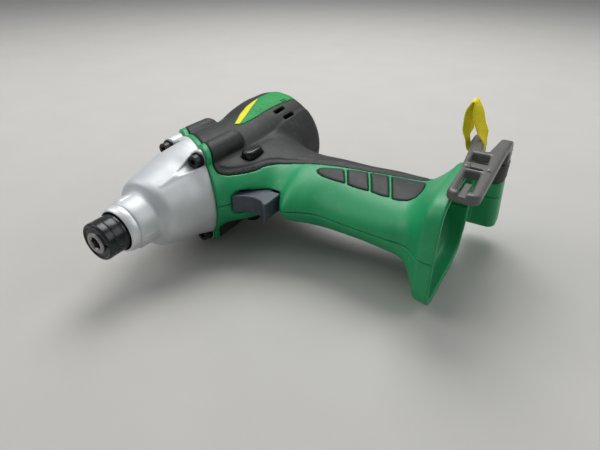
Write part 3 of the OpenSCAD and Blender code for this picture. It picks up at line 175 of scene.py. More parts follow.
def skin_of(field, low, high, cell=None):
    """A mesh on the zero surface of a field, in the box from low to high.

    The box is cut into cubes. Each cube that the surface crosses gets one point, at
    the mean of its crossed edges, moved onto the surface along the field's slope.
    Each crossed edge gets the face between the four cubes round it.
    """
    cell = cell or CELL
    low, high = np.array(low, float) - 2 * cell, np.array(high, float) + 2 * cell
    count = np.ceil((high - low) / cell).astype(int) + 1
    axes = [low[k] + cell * np.arange(count[k]) for k in range(3)]
    grid = np.meshgrid(*axes, indexing="ij", sparse=True)
    value = np.broadcast_to(field(*grid), count).copy()
    value[np.abs(value) < 1e-6] = 1e-6
    inside = value < 0
    place = [np.arange(count[k]).reshape([-1 if j == k else 1 for j in range(3)]) for k in range(3)]
    total = np.zeros([4, *(count - 1)])
    crossings = []
    for axis in range(3):
        here = [slice(None)] * 3
        there = [slice(None)] * 3
        here[axis], there[axis] = slice(0, -1), slice(1, None)
        here, there = tuple(here), tuple(there)
        crossed = inside[here] != inside[there]
        part = np.where(crossed, value[here] / np.where(crossed, value[here] - value[there], 1), 0)
        crossings.append((crossed, inside[here]))
        others = [k for k in range(3) if k != axis]
        for k in range(4):
            amount = crossed * 1.0 if k == 3 else crossed * place[k][tuple(
                slice(0, count[j] - 1) if j == axis == k else slice(None) for j in range(3))]
            if k == axis:
                amount = amount + part
            for a in (0, 1):
                for b in (0, 1):
                    cut = [slice(None)] * 3
                    cut[others[0]] = slice(a, count[others[0]] - 1 + a)
                    cut[others[1]] = slice(b, count[others[1]] - 1 + b)
                    total[k] += amount[tuple(cut)]
    used = total[3] > 0
    number = np.full(used.shape, -1)
    number[used] = np.arange(used.sum())
    points = np.stack([total[k][used] / total[3][used] for k in range(3)], 1) * cell + low
    for _ in range(3):
        here = field(*points.T)
        tiny = 0.02
        slope = np.stack([field(*(points + nudge).T) - field(*(points - nudge).T)
                          for nudge in tiny * np.eye(3)], 1) / (2 * tiny)
        step = -here[:, None] * slope / np.maximum((slope ** 2).sum(1), 0.2)[:, None]
        points += np.clip(step, -0.35 * cell, 0.35 * cell)
    faces = []
    for axis, (crossed, inner) in enumerate(crossings):
        b, c = (axis + 1) % 3, (axis + 2) % 3
        i = np.stack(np.nonzero(crossed), 1)
        i = i[(i[:, b] > 0) & (i[:, c] > 0) & (i[:, b] < count[b] - 1) & (i[:, c] < count[c] - 1)]
        corners = []
        for db, dc in ((1, 1), (0, 1), (0, 0), (1, 0)):
            j = i.copy()
            j[:, b] -= db
            j[:, c] -= dc
            corners.append(number[tuple(j.T)])
        quad = np.stack(corners, 1)
        outward = inner[tuple(i.T)]
        quad[~outward] = quad[~outward][:, ::-1]
        faces.append(quad)
    return points, np.concatenate(faces)


def grid_faces(rows, columns, close_rows=False, close_columns=True):
    """Faces of a grid: each joins a point, the next in its row and the same two in the next row."""
    r = np.arange(rows if close_rows else rows - 1)
    c = np.arange(columns if close_columns else columns - 1)
    r, c = np.meshgrid(r, c, indexing="ij")
    a, b, d = r * columns + c, r * columns + (c + 1) % columns, ((r + 1) % rows) * columns + c
    e = ((r + 1) % rows) * columns + (c + 1) % columns
    return np.stack([a.ravel(), b.ravel(), e.ravel(), d.ravel()], 1)


def revolved(name, section, material, sides=160, round_off=0.25):
    """A ring turned about the drive axis: each point (radius, y) of a closed section goes round a circle."""
    path = softened(section, round_off)
    turn = np.linspace(0, 2 * math.pi, sides, endpoint=False)
    r, y = path[:, 0][None, :], path[:, 1][None, :]
    t = turn[:, None]
    points = np.stack([r * np.cos(t), y + 0 * t, r * np.sin(t)], 2).reshape(-1, 3)
    faces = grid_faces(sides, len(path), close_rows=True)
    area = 0.5 * np.sum(path[:, 0] * np.roll(path[:, 1], -1) - np.roll(path[:, 0], -1) * path[:, 1])
    return piece(name, points, faces if area < 0 else faces[:, ::-1], material)


def softened(section, radius, steps=3):
    """Each corner of a closed section replaced by a parabola that starts and ends radius away."""
    p = np.array(section, float)
    before, after = np.roll(p, 1, 0) - p, np.roll(p, -1, 0) - p
    cut = [np.minimum(radius, 0.45 * np.linalg.norm(d, axis=1))[:, None] * d / np.linalg.norm(d, axis=1)[:, None]
           for d in (before, after)]
    t = np.linspace(0, 1, steps + 1)[None, :, None]
    a, b = p + cut[0], p + cut[1]
    return (a[:, None] * (1 - t) ** 2 + 2 * p[:, None] * t * (1 - t) + b[:, None] * t ** 2).reshape(-1, 2)


# ---- fields ----
def eased(t):
    """A step from 0 to 1 that starts and ends level: 3 t^2 - 2 t^3."""
    t = np.clip(t, 0, 1)
    return t * t * (3 - 2 * t)


def joined(a, b, soft):
    """Both pieces: the lesser of two fields, run together by a parabola where they differ by less than soft."""
    h = np.clip(0.5 + 0.5 * (b - a) / soft, 0, 1)
    return b * (1 - h) + a * h - soft * h * (1 - h)


def shared(a, b, soft=0.8):
    """What both pieces cover: the greater of two fields, its edge rounded."""
    return -joined(-a, -b, soft)


def without(a, b, soft=0.8):
    """The first piece with the second cut away: the greater of one field and the other's opposite, its edge rounded."""
    return shared(a, -b, soft)


def cubic(a, b, c, d, t):
    """A smooth curve from b to c as t goes from 0 to 1: the cubic whose slopes there are (c - a) / 2 and (d - b) / 2."""
    return 0.5 * (2 * b + (c - a) * t + (2 * a - 5 * b + 4 * c - d) * t ** 2 + (3 * b - a - 3 * c + d) * t ** 3)


def curve_through(rows, steps=24):
    """The source's smooth curve through rows of numbers, as a table: a cubic from each row to the next."""
    r = np.array(rows, float)
    n = len(r) - 1
    u = np.linspace(0, n, n * steps + 1)
    i = np.minimum(u.astype(int), n - 1)
    t = (u - i)[:, None]
    return cubic(*(r[np.clip(i + k, 0, n)] for k in (-1, 0, 1, 2)), t)


def turned(profile, smooth=True):
    """A surface turned about the drive axis: distance from it less the table's radius at y, times the slope's cosine."""
    table = curve_through(profile) if smooth else np.array(profile, float)
    y0, r0 = table[:, 0], table[:, 1]
    lean = 1 / np.sqrt(1 + np.gradient(r0, y0 + np.arange(len(y0)) * 1e-9) ** 2)
    return lambda x, y, z: (np.hypot(x, z) - np.interp(y, y0, r0)) * np.interp(y, y0, np.clip(lean, 0.3, 1))


def bulge(at, y0, y1, radius):
    """A round bar along y with a domed rear end: distance from a line a radius short of that end, less the radius."""
    def field(x, y, z):
        away = np.hypot(x - at[0], z - at[1])
        return np.maximum(np.hypot(away, np.maximum(y - (y1 - radius), 0)) - radius, y0 - y)
    return field


def tapered(p, q, r0, r1):
    """A tapered bar with round ends: distance from a line, less a radius that changes along it."""
    p, q = np.array(p, float), np.array(q, float)
    d = q - p

    def field(x, y, z):
        t = np.clip(((x - p[0]) * d[0] + (y - p[1]) * d[1] + (z - p[2]) * d[2]) / (d @ d), 0, 1)
        away = np.sqrt(sum((v - a - t * b) ** 2 for v, a, b in zip((x, y, z), p, d)))
        return away - r0 - t * (r1 - r0)
    return field


def block(low, high, radius=0.5):
    """A box with rounded edges: distance from a smaller box, less the radius."""
    mid = [(a + b) / 2 for a, b in zip(low, high)]
    half = [(b - a) / 2 - radius for a, b in zip(low, high)]

    def field(x, y, z):
        q = [np.abs(v - m) - h for v, m, h in zip((x, y, z), mid, half)]
        outside = np.sqrt(sum(np.maximum(v, 0) ** 2 for v in q))
        return outside + np.minimum(np.maximum(np.maximum(q[0], q[1]), q[2]), 0) - radius
    return field


def outline(corners):
    """Distance from the nearest side of a flat outline, negative where a ray crosses its sides an odd number of times."""
    p = np.array(corners, float)
    sides = list(zip(p, np.roll(p, -1, 0)))

    def field(u, v):
        near, odd = None, None
        for (u0, v0), (u1, v1) in sides:
            eu, ev, wu, wv = u1 - u0, v1 - v0, u - u0, v - v0
            t = np.clip((wu * eu + wv * ev) / (eu * eu + ev * ev), 0, 1)
            d = (wu - eu * t) ** 2 + (wv - ev * t) ** 2
            cross = ((v0 <= v) != (v1 <= v)) & ((wu * ev - wv * eu) * np.sign(ev) < 0)
            near = d if near is None else np.minimum(near, d)
            odd = cross if odd is None else odd ^ cross
        return np.sqrt(near) * np.where(odd, -1, 1)
    return field


def corners_rounded(points, steps=6):
    """Corners (x, y, radius) of a flat outline replaced by arcs that touch both sides, as in the source."""
    arcs = []
    for i, (bx, by, r) in enumerate(points):
        b = np.array([bx, by])
        u = np.array(points[i - 1][:2]) - b
        v = np.array(points[(i + 1) % len(points)][:2]) - b
        u, v = u / np.linalg.norm(u), v / np.linalg.norm(v)
        h = math.acos(float(u @ v)) / 2
        m = b + (u + v) / np.linalg.norm(u + v) * r / math.sin(h)
        t = np.linspace(0, 1, steps + 1)[:, None]
        w = (b + u * r / math.tan(h) - m) * (1 - t) + (b + v * r / math.tan(h) - m) * t
        arcs.append(m + w / np.linalg.norm(w, axis=1)[:, None] * r)
    return np.concatenate(arcs)


GRIP = curve_through(GRIP_ROWS)


def handle(x, y, z, inset=0.0):
    """The handle and foot: at each x an oval, the sum of powers of its two stretched coordinates, as the rows give it."""
    front, back, half, square, lean = (np.interp(x, GRIP[:, 0], GRIP[:, k]) for k in range(1, 6))
    along = y - (front + back) / 2 - lean
    side = np.where(along < 0, 1.0, -1.0)
    deep = (back - front) / 2 + side * lean - inset
    power = square - side * lean / 8
    size = ((np.abs(along) / deep) ** power + (np.abs(z) / (half - inset)) ** power) ** (1 / power)
    return np.hypot(along, z) * (1 - 1 / np.maximum(size, 0.05))


def bolt_at(hand, far):
    """Where a case bolt stands, seen along the drive axis: on a circle, at its angle from the side that it is on."""
    angle = math.radians(FAR_ANGLE if far else BOLT_ANGLE)
    return (-1 if far else 1) * BOLT_R * math.sin(angle), hand * BOLT_R * math.cos(angle)


# The far bolts stand away from the handle, the near ones towards it: x, z and whether it is a far one
BOLTS = [(*bolt_at(hand, far), far) for hand in (1, -1) for far in (True, False)]


barrel_side = turned(HOUSING_PROFILE)
label_side, sweep_side, recess_side, cover_side = (outline(p) for p in (LABEL, SWEEP, RECESS, COVER))
pad_sides = [outline(p) for p in PADS]


def barrel(x, y, z):
    """The motor housing: a turned surface, closed by a flat tail."""
    return shared(barrel_side(x, y, z), y - TAIL_Y, 1.2)


bulges = [bulge((a, c), 30, FAR_BULGE_END if far else BULGE_END, BULGE_R) for a, c, far in BOLTS]


def body(x, y, z):
    """Outside of the housing: motor barrel, four bolt bulges and the handle, run together by fillets.

    A bell curve sinks the surface round the button, and a recess is cut round the trigger.
    """
    whole = barrel(x, y, z)
    for long_bulge in bulges:
        whole = joined(whole, long_bulge(x, y, z), 0.9)
    stem = shared(shared(handle(x, y, z), 24 - x, 7), x - RIM_X, 0.7)
    away = ((x - BUTTON_X - 1) / 8) ** 2 + ((y - BUTTON_Y - 1) / 9.5) ** 2
    whole = joined(whole, stem, 5) + BUTTON_DIP * np.exp(-away ** 2) * (np.abs(z) > 8)
    return without(whole, shared(recess_side(x, y), np.abs(z) - 8.6, 5), 1.6)


def joint(x, y, z, gap=0.0):
    """Distance behind the slanted joint, in front of it negative."""
    return x * math.sin(SLANT) + (y - JOINT_Y - gap) * math.cos(SLANT)


room_side = turned(MOTOR_ROOM, smooth=False)


def room(x, y, z):
    """Inside of the housing: motor room and the hollow of handle and foot, one wall in from the outside."""
    return np.minimum(np.maximum(room_side(x, y, z), y - TAIL_Y + WALL), np.maximum(handle(x, y, z, WALL), 35 - x))


def button_side(x, y):
    """The button seen from the side: distance from a short line along y, less the radius of its round ends."""
    return np.hypot(x - BUTTON_X, np.maximum(np.abs(y - BUTTON_Y) - BUTTON_LONG, 0)) - BUTTON_R


def button_hole(x, y, z):
    """Slot with round ends, through the housing from side to side, a clearance wider than the button."""
    return button_side(x, y) - CLEAR


def air_slots(x, y, z, wider=0.0):
    """Two air slots on each side, each a flat bar along y with round edges, turned by an angle from the handle."""
    slots = []
    for degrees, start in ((63, TAIL_Y - 33), (51.5, TAIL_Y - 30.6)):
        c, s = math.cos(math.radians(degrees)), math.sin(math.radians(degrees))
        across, outward = np.abs(z) * c - x * s, x * c + np.abs(z) * s
        bar = np.hypot(np.maximum(np.abs(y - start - 5.2) - 4.6, 0), np.maximum(np.abs(across) - 0.7, 0)) - 0.6 - wider
        slots.append(np.maximum(bar, TAIL_R - 9 - outward))
    return np.minimum.reduce(slots)


trigger_mouth = block((TRIGGER_X0 - CLEAR, 40, -TRIGGER_HALF - CLEAR),
                      (TRIGGER_X1 + CLEAR, 95, TRIGGER_HALF + CLEAR), 1.6)


def pads_side(x, y):
    """The four grip pads seen from the side."""
    return np.minimum.reduce([f(x, y) for f in pad_sides])


def screw_holes(x, y, z):
    """Sunk holes of the housing screws, open on the right side of the tool."""
    return np.minimum.reduce([np.maximum(np.hypot(x - a, y - b) - 3.1, z - c) for a, b, c in SCREWS])


def screw_posts(x, y, z):
    """Posts inside the housing that the screws go through."""
    return np.minimum.reduce([np.hypot(x - a, y - b) - 4.6 for a, b, c in SCREWS])


def post_side(x, y, x1):
    """Section of pod and hub up to x1: distance from a rectangle, less the radius of its round corners."""
    half_y = (POD[3] - POD[1]) / 2
    return np.hypot(np.maximum(np.abs(x - (POD[0] + x1) / 2) - (x1 - POD[0]) / 2 + POD_CORNER, 0),
                    np.maximum(np.abs(y - POD[1] - half_y) - half_y + POD_CORNER, 0)) - POD_CORNER


def pod(x, y, z):
    """The post across the end of the foot's tongue, 1.8 mm wider at its lower end than under the hub."""
    return post_side(x, y, POD[2] - 1.8 * np.clip((z - POD_LOW) / 30, 0, 1))


tongue = block((142.5, 129, -17.5), (151, 157, 8.5), 2)


def housing(side):
    """One moulded half: outside less the room, the sunk places for cover and pads, and every opening."""
    def field(x, y, z):
        outside = body(x, y, z)
        soft = np.minimum(cover_side(x, y), pads_side(x, y) + np.maximum(PAD_LOW - np.abs(z), 0))
        deep = np.maximum(np.maximum(soft - 0.25, -(outside + SKIN)), x - RIM_X)
        green = without(outside, deep, 0.5)
        green = joined(green, tongue(x, y, z), 2.5)
        green = joined(green, shared(pod(x, y, z), np.maximum(POD_LOW - z, z - HUB_LOW), 2.2), 1.6)
        green = shared(green, -joint(x, y, z), 0.7)
        green = without(green, without(room(x, y, z), screw_posts(x, y, z), 0.6), 0.7)
        for cut in (button_hole, trigger_mouth):
            green = without(green, cut(x, y, z), 0.6)
        green = without(green, air_slots(x, y, z, 0.8), 0.4)
        if side < 0:
            green = without(green, screw_holes(x, y, z), 0.6)
        return shared(green, 0.1 - side * z, 0.5)
    return field


def overmould(side):
    """The soft cover: a skin on the body within the cover's side view, raised by half a millimetre behind its border."""
    def field(x, y, z):
        outside = body(x, y, z)
        within = cover_side(x, y)
        raised = eased(np.clip((-within - 3.0) / 1.1, 0, 1) * np.clip((x - 21) / 3, 0, 1))
        soft = shared(outside - 0.1 - 0.5 * raised, within, 1.0)
        soft = shared(soft, -joint(x, y, z, BAND), 0.8)
        soft = without(soft, outside + SKIN - 0.1, 0.3)
        for cut in (button_hole, air_slots):
            soft = without(soft, cut(x, y, z), 0.7)
        soft = without(soft, trigger_mouth(x, y, z), 0.5)
        if side < 0:
            soft = without(soft, screw_holes(x, y, z), 0.5)
        return shared(soft, 0.1 - side * z, 0.5)
    return field


def grip_pads(side):
    """Four soft pads let into one side of the handle."""
    def field(x, y, z):
        outside = body(x, y, z)
        soft = shared(outside - 0.2, pads_side(x, y), 1.0)
        soft = without(soft, outside + SKIN - 0.1, 0.3)
        return np.maximum(soft, PAD_LOW - side * z)
    return field


case_side = turned(CASE_PROFILE)
case_room = turned(HAMMER_ROOM, smooth=False)


def hammer_case(x, y, z):
    """The cast case: a turned shell with four bolt bosses that rise from its flanks and pads on its neck.

    Before each bolt head a tapering groove is cut. The flanks before the two far bolts are cut flat.
    """
    cast = case_side(x, y, z)
    for a, c, far in BOLTS:
        face, lead = (FAR_BOSS_Y, 0.7) if far else (BOSS_Y, 0.73)
        boss = shared(np.hypot(x - a, z - c) - BOSS_R, face - y, 1.0)
        fair = tapered((a * lead, face - 27, c * lead), (a * 0.9, face, c * 0.9), 0.6, BOSS_R - 0.8)
        cast = joined(cast, joined(boss, fair(x, y, z), 1.5), 1.4)
    for degrees in (20, 70, 200, 250):
        c, s = math.cos(math.radians(degrees)), -math.sin(math.radians(degrees))
        across, outward = z * c - x * s, x * c + z * s
        pad = np.maximum(np.maximum(np.abs(across) - 2.6, np.abs(y - SEAM_Y - 6.2) - 3.8), np.abs(outward - NECK_R) - 1.0)
        cast = joined(cast, pad, 1.0)
    for a, c, far in BOLTS:
        face, lead = (FAR_BOSS_Y, 0.87) if far else (BOSS_Y, 0.84)
        outward = (x * a + z * c) / BOLT_R
        if far:
            cast = without(cast, np.maximum(FLANK_CUT - outward, y - face), 1.2)
        groove = tapered((a * lead, face - 21, c * lead), (a, face, c), 0.4, HEAD_R + 1.2)(x, y, z)
        cast = without(cast, np.maximum(np.maximum(groove, y - face), GROOVE_FLOOR - outward), 0.5)
    cast = shared(cast, SEAM_Y - y, 0.4)
    cast = shared(cast, joint(x, y, z), 0.7)
    return without(cast, case_room(x, y, z), 0.5)


def label_plate(x, y, z):
    """The label's thin plate, lying on the barrel within its own outline."""
    on = barrel_side(x, y, z)
    return np.maximum(shared(shared(on - 0.6, label_side(x, y), 0.7), -on, 0.2), 12 - z)


def label_sweep(x, y, z):
    """The label's plain yellow sweep, a printed film along its edge away from the handle."""
    on = barrel_side(x, y, z)
    film = np.maximum(sweep_side(x, y) + 0.1, label_side(x, y) + 0.7)
    return np.maximum(shared(shared(on - 0.72, film, 0.15), -on + 0.3, 0.1), 12 - z)


FINGER_Y, NECK_Y, SEAT_Y = GRIP_FRONT - 8.3, GRIP_FRONT + 4, GRIP_FRONT + 17
trigger_side = outline([
    (TRIGGER_X0, FINGER_Y - 5.2), (TRIGGER_X0 + 2, FINGER_Y - 4.4), (TRIGGER_X0 + 7, FINGER_Y - 1.2),
    (TRIGGER_X0 + 12, FINGER_Y), (TRIGGER_X0 + 17, FINGER_Y - 1), (TRIGGER_X1 - 2, FINGER_Y - 3.4),
    (TRIGGER_X1 - 0.4, FINGER_Y - 3.8), (TRIGGER_X1, FINGER_Y - 2.4), (TRIGGER_X1, NECK_Y), (TRIGGER_X1 - 6, NECK_Y),
    (TRIGGER_X1 - 6, SEAT_Y), (TRIGGER_X0 + 6, SEAT_Y), (TRIGGER_X0 + 6, NECK_Y), (TRIGGER_X0, NECK_Y)])


def trigger(x, y, z):
    """The trigger: its side view carried across its width, edges rounded, with a hollow for the spring."""
    key = shared(trigger_side(x, y), np.abs(z) - TRIGGER_HALF, 1.1)
    well = np.maximum(np.hypot(x - (TRIGGER_X0 + TRIGGER_X1) / 2, z) - 4, SEAT_Y - 8 - y)
    return without(key, well, 0.5)


def reversing_button(x, y, z):
    """The button through the head: a long key, its ends crowned like a flat paraboloid and rounded."""
    crown = 0.012 * ((y - BUTTON_Y) ** 2 + (x - BUTTON_X) ** 2)
    return shared(button_side(x, y), np.abs(z) - BUTTON_HALF + crown, 1.3)


FORK_Y, TINE_X0 = PLATE_Y + 53, HOOK_X0 - RAIL + 0.3
HOOK_TOP = PLATE_LOW + PLATE_T
LEG_BACK = POD[3] - 3.5
hook_outside = outline(corners_rounded([
    (HOOK_X0, PLATE_Y, 4.2), (HOOK_X1, PLATE_Y, 4.2), (HOOK_X1, POD[1] - 1, 2.4), (HOOK_X1 - RAIL - 1, POD[1] - 1, 2),
    (HOOK_X1 - RAIL - 3, FORK_Y + 1.5, 1), (HOOK_X0 + 4, FORK_Y, 1), (TINE_X0 + RAIL + 2.2, POD[1] - 11.6, 0.3),
    (TINE_X0 + RAIL + 0.1, POD[1] - 11.2, 0.3), (TINE_X0 + RAIL + 0.1, POD[1] + 1.5, 1.6),
    (TINE_X0 - 0.2, POD[1] + 1, 2.6), (TINE_X0, FORK_Y + 13, 6), (HOOK_X0 - 2.8, FORK_Y - 2, 8),
    (HOOK_X0 - 0.6, PLATE_Y + 27, 8)]))
front_window = outline([
    (HOOK_X0 + 3.6, PLATE_Y + 4.5), (HOOK_X1 - 4.8, PLATE_Y + 4.5), (HOOK_X1 - 5.8, PLATE_Y + 26),
    (HOOK_X0 + 2.4, PLATE_Y + 26)])
spring_tongue = outline([
    (HOOK_X0 + 5.2, PLATE_Y), (HOOK_X0 + 8.6, PLATE_Y), (HOOK_X0 + 8.6, PLATE_Y + 15), (HOOK_X0 + 5.2, PLATE_Y + 15)])
rear_window = outline([
    (HOOK_X0 + 1.2, PLATE_Y + 37), (HOOK_X1 - 5.2, PLATE_Y + 37), (HOOK_X1 - 6.2, PLATE_Y + 49),
    (HOOK_X0 + 0.4, PLATE_Y + 49)])
leg_side = outline(corners_rounded([
    (POD[1] - 12, PLATE_LOW + 0.5, 0.4), (POD[1] - 12, HOOK_TOP - 0.6, 0.4), (POD[1] - 4, HOOK_TOP, 4),
    (POD[1] + 8, HOOK_TOP - 3.4, 8), (LEG_BACK, HOOK_TOP - 11, 6), (LEG_BACK, HUB_TOP, 0.4),
    (POD[1] + 3, HUB_TOP, 0.4), (POD[1] + 2.4, PLATE_LOW - 2, 5)]))


def hook_arm(x, y, z):
    """The belt hook: a plate with windows, forked at the rear, and a side view of the legs carried across both rails."""
    flat = hook_outside(x, y)
    flat = without(flat, np.maximum(front_window(x, y), -spring_tongue(x, y)), 0.5)
    flat = without(flat, rear_window(x, y), 0.6)
    plate = shared(flat, np.abs(z - PLATE_LOW - PLATE_T / 2) - PLATE_T / 2, 1.8)
    side = leg_side(y, z)
    for x0 in (TINE_X0, HOOK_X1 - RAIL):
        plate = joined(plate, shared(side, np.abs(x - x0 - RAIL / 2) - RAIL / 2, 1.5), 1.2)
    plate = without(plate, np.maximum(spring_tongue(x, y) - 0.2, HOOK_TOP - 1.6 - z), 0.5)
    bar = block((HOOK_X0 + 2, PLATE_Y + 28, HOOK_TOP - 1.4), (HOOK_X1 - 5.6, PLATE_Y + 30.2, HOOK_TOP + 4), 0.3)
    return np.maximum(without(plate, bar(x, y, z), 0.5), HUB_TOP - z + 0.02)


def hook_ribs(x, y, z):
    """Three finger grooves cut across the rear corner, 2.8 mm apart."""
    return np.minimum.reduce([np.maximum(np.abs(z - HUB_TOP - 2.2 - 2.8 * k) - 0.6, LEG_BACK - 4 - y) for k in range(3)])


def ribbed_arm(x, y, z):
    """The hook's arm with its finger grooves."""
    return without(hook_arm(x, y, z), np.maximum(hook_ribs(x, y, z), HOOK_X1 - 0.9 - x), 0.3)


def thumb_pads(x, y, z):
    """Two small raised thumb rests on the rails: short bars of round section."""
    return np.minimum.reduce([
        tapered((x0, PLATE_Y + 29.4, HOOK_TOP - 0.7), (x0, PLATE_Y + 32.6, HOOK_TOP - 0.7), 1.75, 1.75)(x, y, z)
        for x0 in (HOOK_X0 + 1.6, HOOK_X1 - 2.9)])


def hub(x, y, z):
    """The hook's turning hub on the pod, with three grooves at its lower rear corner and a stepped bore."""
    x1 = HOOK_X1 + 0.4
    whole = shared(post_side(x, y, x1), np.maximum(HUB_LOW + 0.3 - z, z - HUB_TOP), 0.9)
    rings = np.minimum.reduce([np.abs(z - HUB_LOW - 3.0 - 2.8 * k) - 0.6 for k in range(3)])
    whole = without(whole, np.maximum(np.maximum(rings, x1 - 1.2 - x), POD[1] + 5 - y), 0.3)
    away = np.hypot(x - (POD[0] + POD[2]) / 2, y - (POD[1] + POD[3]) / 2)
    return without(whole, np.minimum(away - 2.55, np.maximum(away - 4.2, HUB_TOP - 3 - z)), 0.3)


# ---- finishes ----
def finish(name, colour, rough=0.5, metal=0.0, mottle=0.08, mottle_mm=14.0, grain_mm=0.5, grain=0.02, scuff=0.0,
           stretch=(1, 1, 1), specular=0.5):
    """A material with broad colour drift, fine surface grain and faint rubbed patches.

    Colour is mixed between a darker and a lighter shade by slow noise; rubbed patches
    are where a stretched noise rises over a threshold; bump is fine noise.
    """
    m = bpy.data.materials.new(name)
    m.use_nodes = True
    n, link = m.node_tree.nodes, m.node_tree.links.new
    shader = n["Principled BSDF"]
    shader.inputs["Metallic"].default_value = metal
    shader.inputs["Specular IOR Level"].default_value = specular
    place = n.new("ShaderNodeTexCoord")
    turn = n.new("ShaderNodeMapping")
    turn.inputs["Scale"].default_value = stretch
    link(place.outputs["Object"], turn.inputs["Vector"])

    def noise(mm, detail=3.0, coarse=0.55):
        t = n.new("ShaderNodeTexNoise")
        t.inputs["Scale"].default_value = 1000.0 / mm
        t.inputs["Detail"].default_value = detail
        t.inputs["Roughness"].default_value = coarse
        link(turn.outputs["Vector"], t.inputs["Vector"])
        return t.outputs["Fac"]

    def ramp(source, stops):
        r = n.new("ShaderNodeValToRGB")
        for k, (at, value) in enumerate(stops):
            e = r.color_ramp.elements[k] if k < 2 else r.color_ramp.elements.new(at)
            e.position, e.color = at, (*value, 1)
        link(source, r.inputs["Fac"])
        return r.outputs["Color"]

    dark = [c * (1 - mottle) for c in colour]
    pale = [min(1, c * (1 + mottle) + 0.01 * mottle) for c in colour]
    tint = ramp(noise(mottle_mm), [(0.32, dark), (0.68, pale)])
    fine = noise(grain_mm, 2.0)
    wear = ramp(noise(5.0, 6.0, 0.75), [(0.56, (0, 0, 0)), (0.74, (1, 1, 1))])
    mix = n.new("ShaderNodeMix")
    mix.data_type = "RGBA"
    rubbed = [min(1, c * (1 + scuff) + 0.05 * scuff) for c in colour]
    link(wear, mix.inputs["Factor"])
    link(tint, mix.inputs["A"])
    mix.inputs["B"].default_value = (*rubbed, 1)
    link(mix.outputs["Result"], shader.inputs["Base Color"])
    shine = n.new("ShaderNodeMapRange")
    shine.inputs["To Min"].default_value = max(0.02, rough - 0.06)
    shine.inputs["To Max"].default_value = min(1.0, rough + 0.08)
    link(noise(2.4, 4.0), shine.inputs["Value"])
    link(shine.outputs["Result"], shader.inputs["Roughness"])
    bump = n.new("ShaderNodeBump")
    bump.inputs["Strength"].default_value = 0.6
    bump.inputs["Distance"].default_value = grain / 1000
    link(fine, bump.inputs["Height"])
    link(bump.outputs["Normal"], shader.inputs["Normal"])
    return m


def webbing(name, colour):
    """Woven strap: two crossed waves of about 1 mm make the weave's colour and relief."""
    m = finish(name, colour, rough=0.75, mottle=0.06, mottle_mm=6)
    n, link = m.node_tree.nodes, m.node_tree.links.new
    place = next(k for k in n if k.type == "TEX_COORD")
    waves = []
    for direction in ("Y", "Z"):
        w = n.new("ShaderNodeTexWave")
        w.bands_direction = direction
        w.inputs["Scale"].default_value = 330.0
        w.inputs["Distortion"].default_value = 0.6
        link(place.outputs["Object"], w.inputs["Vector"])
        waves.append(w.outputs["Fac"])
    both = n.new("ShaderNodeMath")
    both.operation = "MULTIPLY"
    link(waves[0], both.inputs[0])
    link(waves[1], both.inputs[1])
    bump = next(k for k in n if k.type == "BUMP")
    bump.inputs["Strength"].default_value = 0.8
    bump.inputs["Distance"].default_value = 0.0003
    link(both.outputs[0], bump.inputs["Height"])
    return m


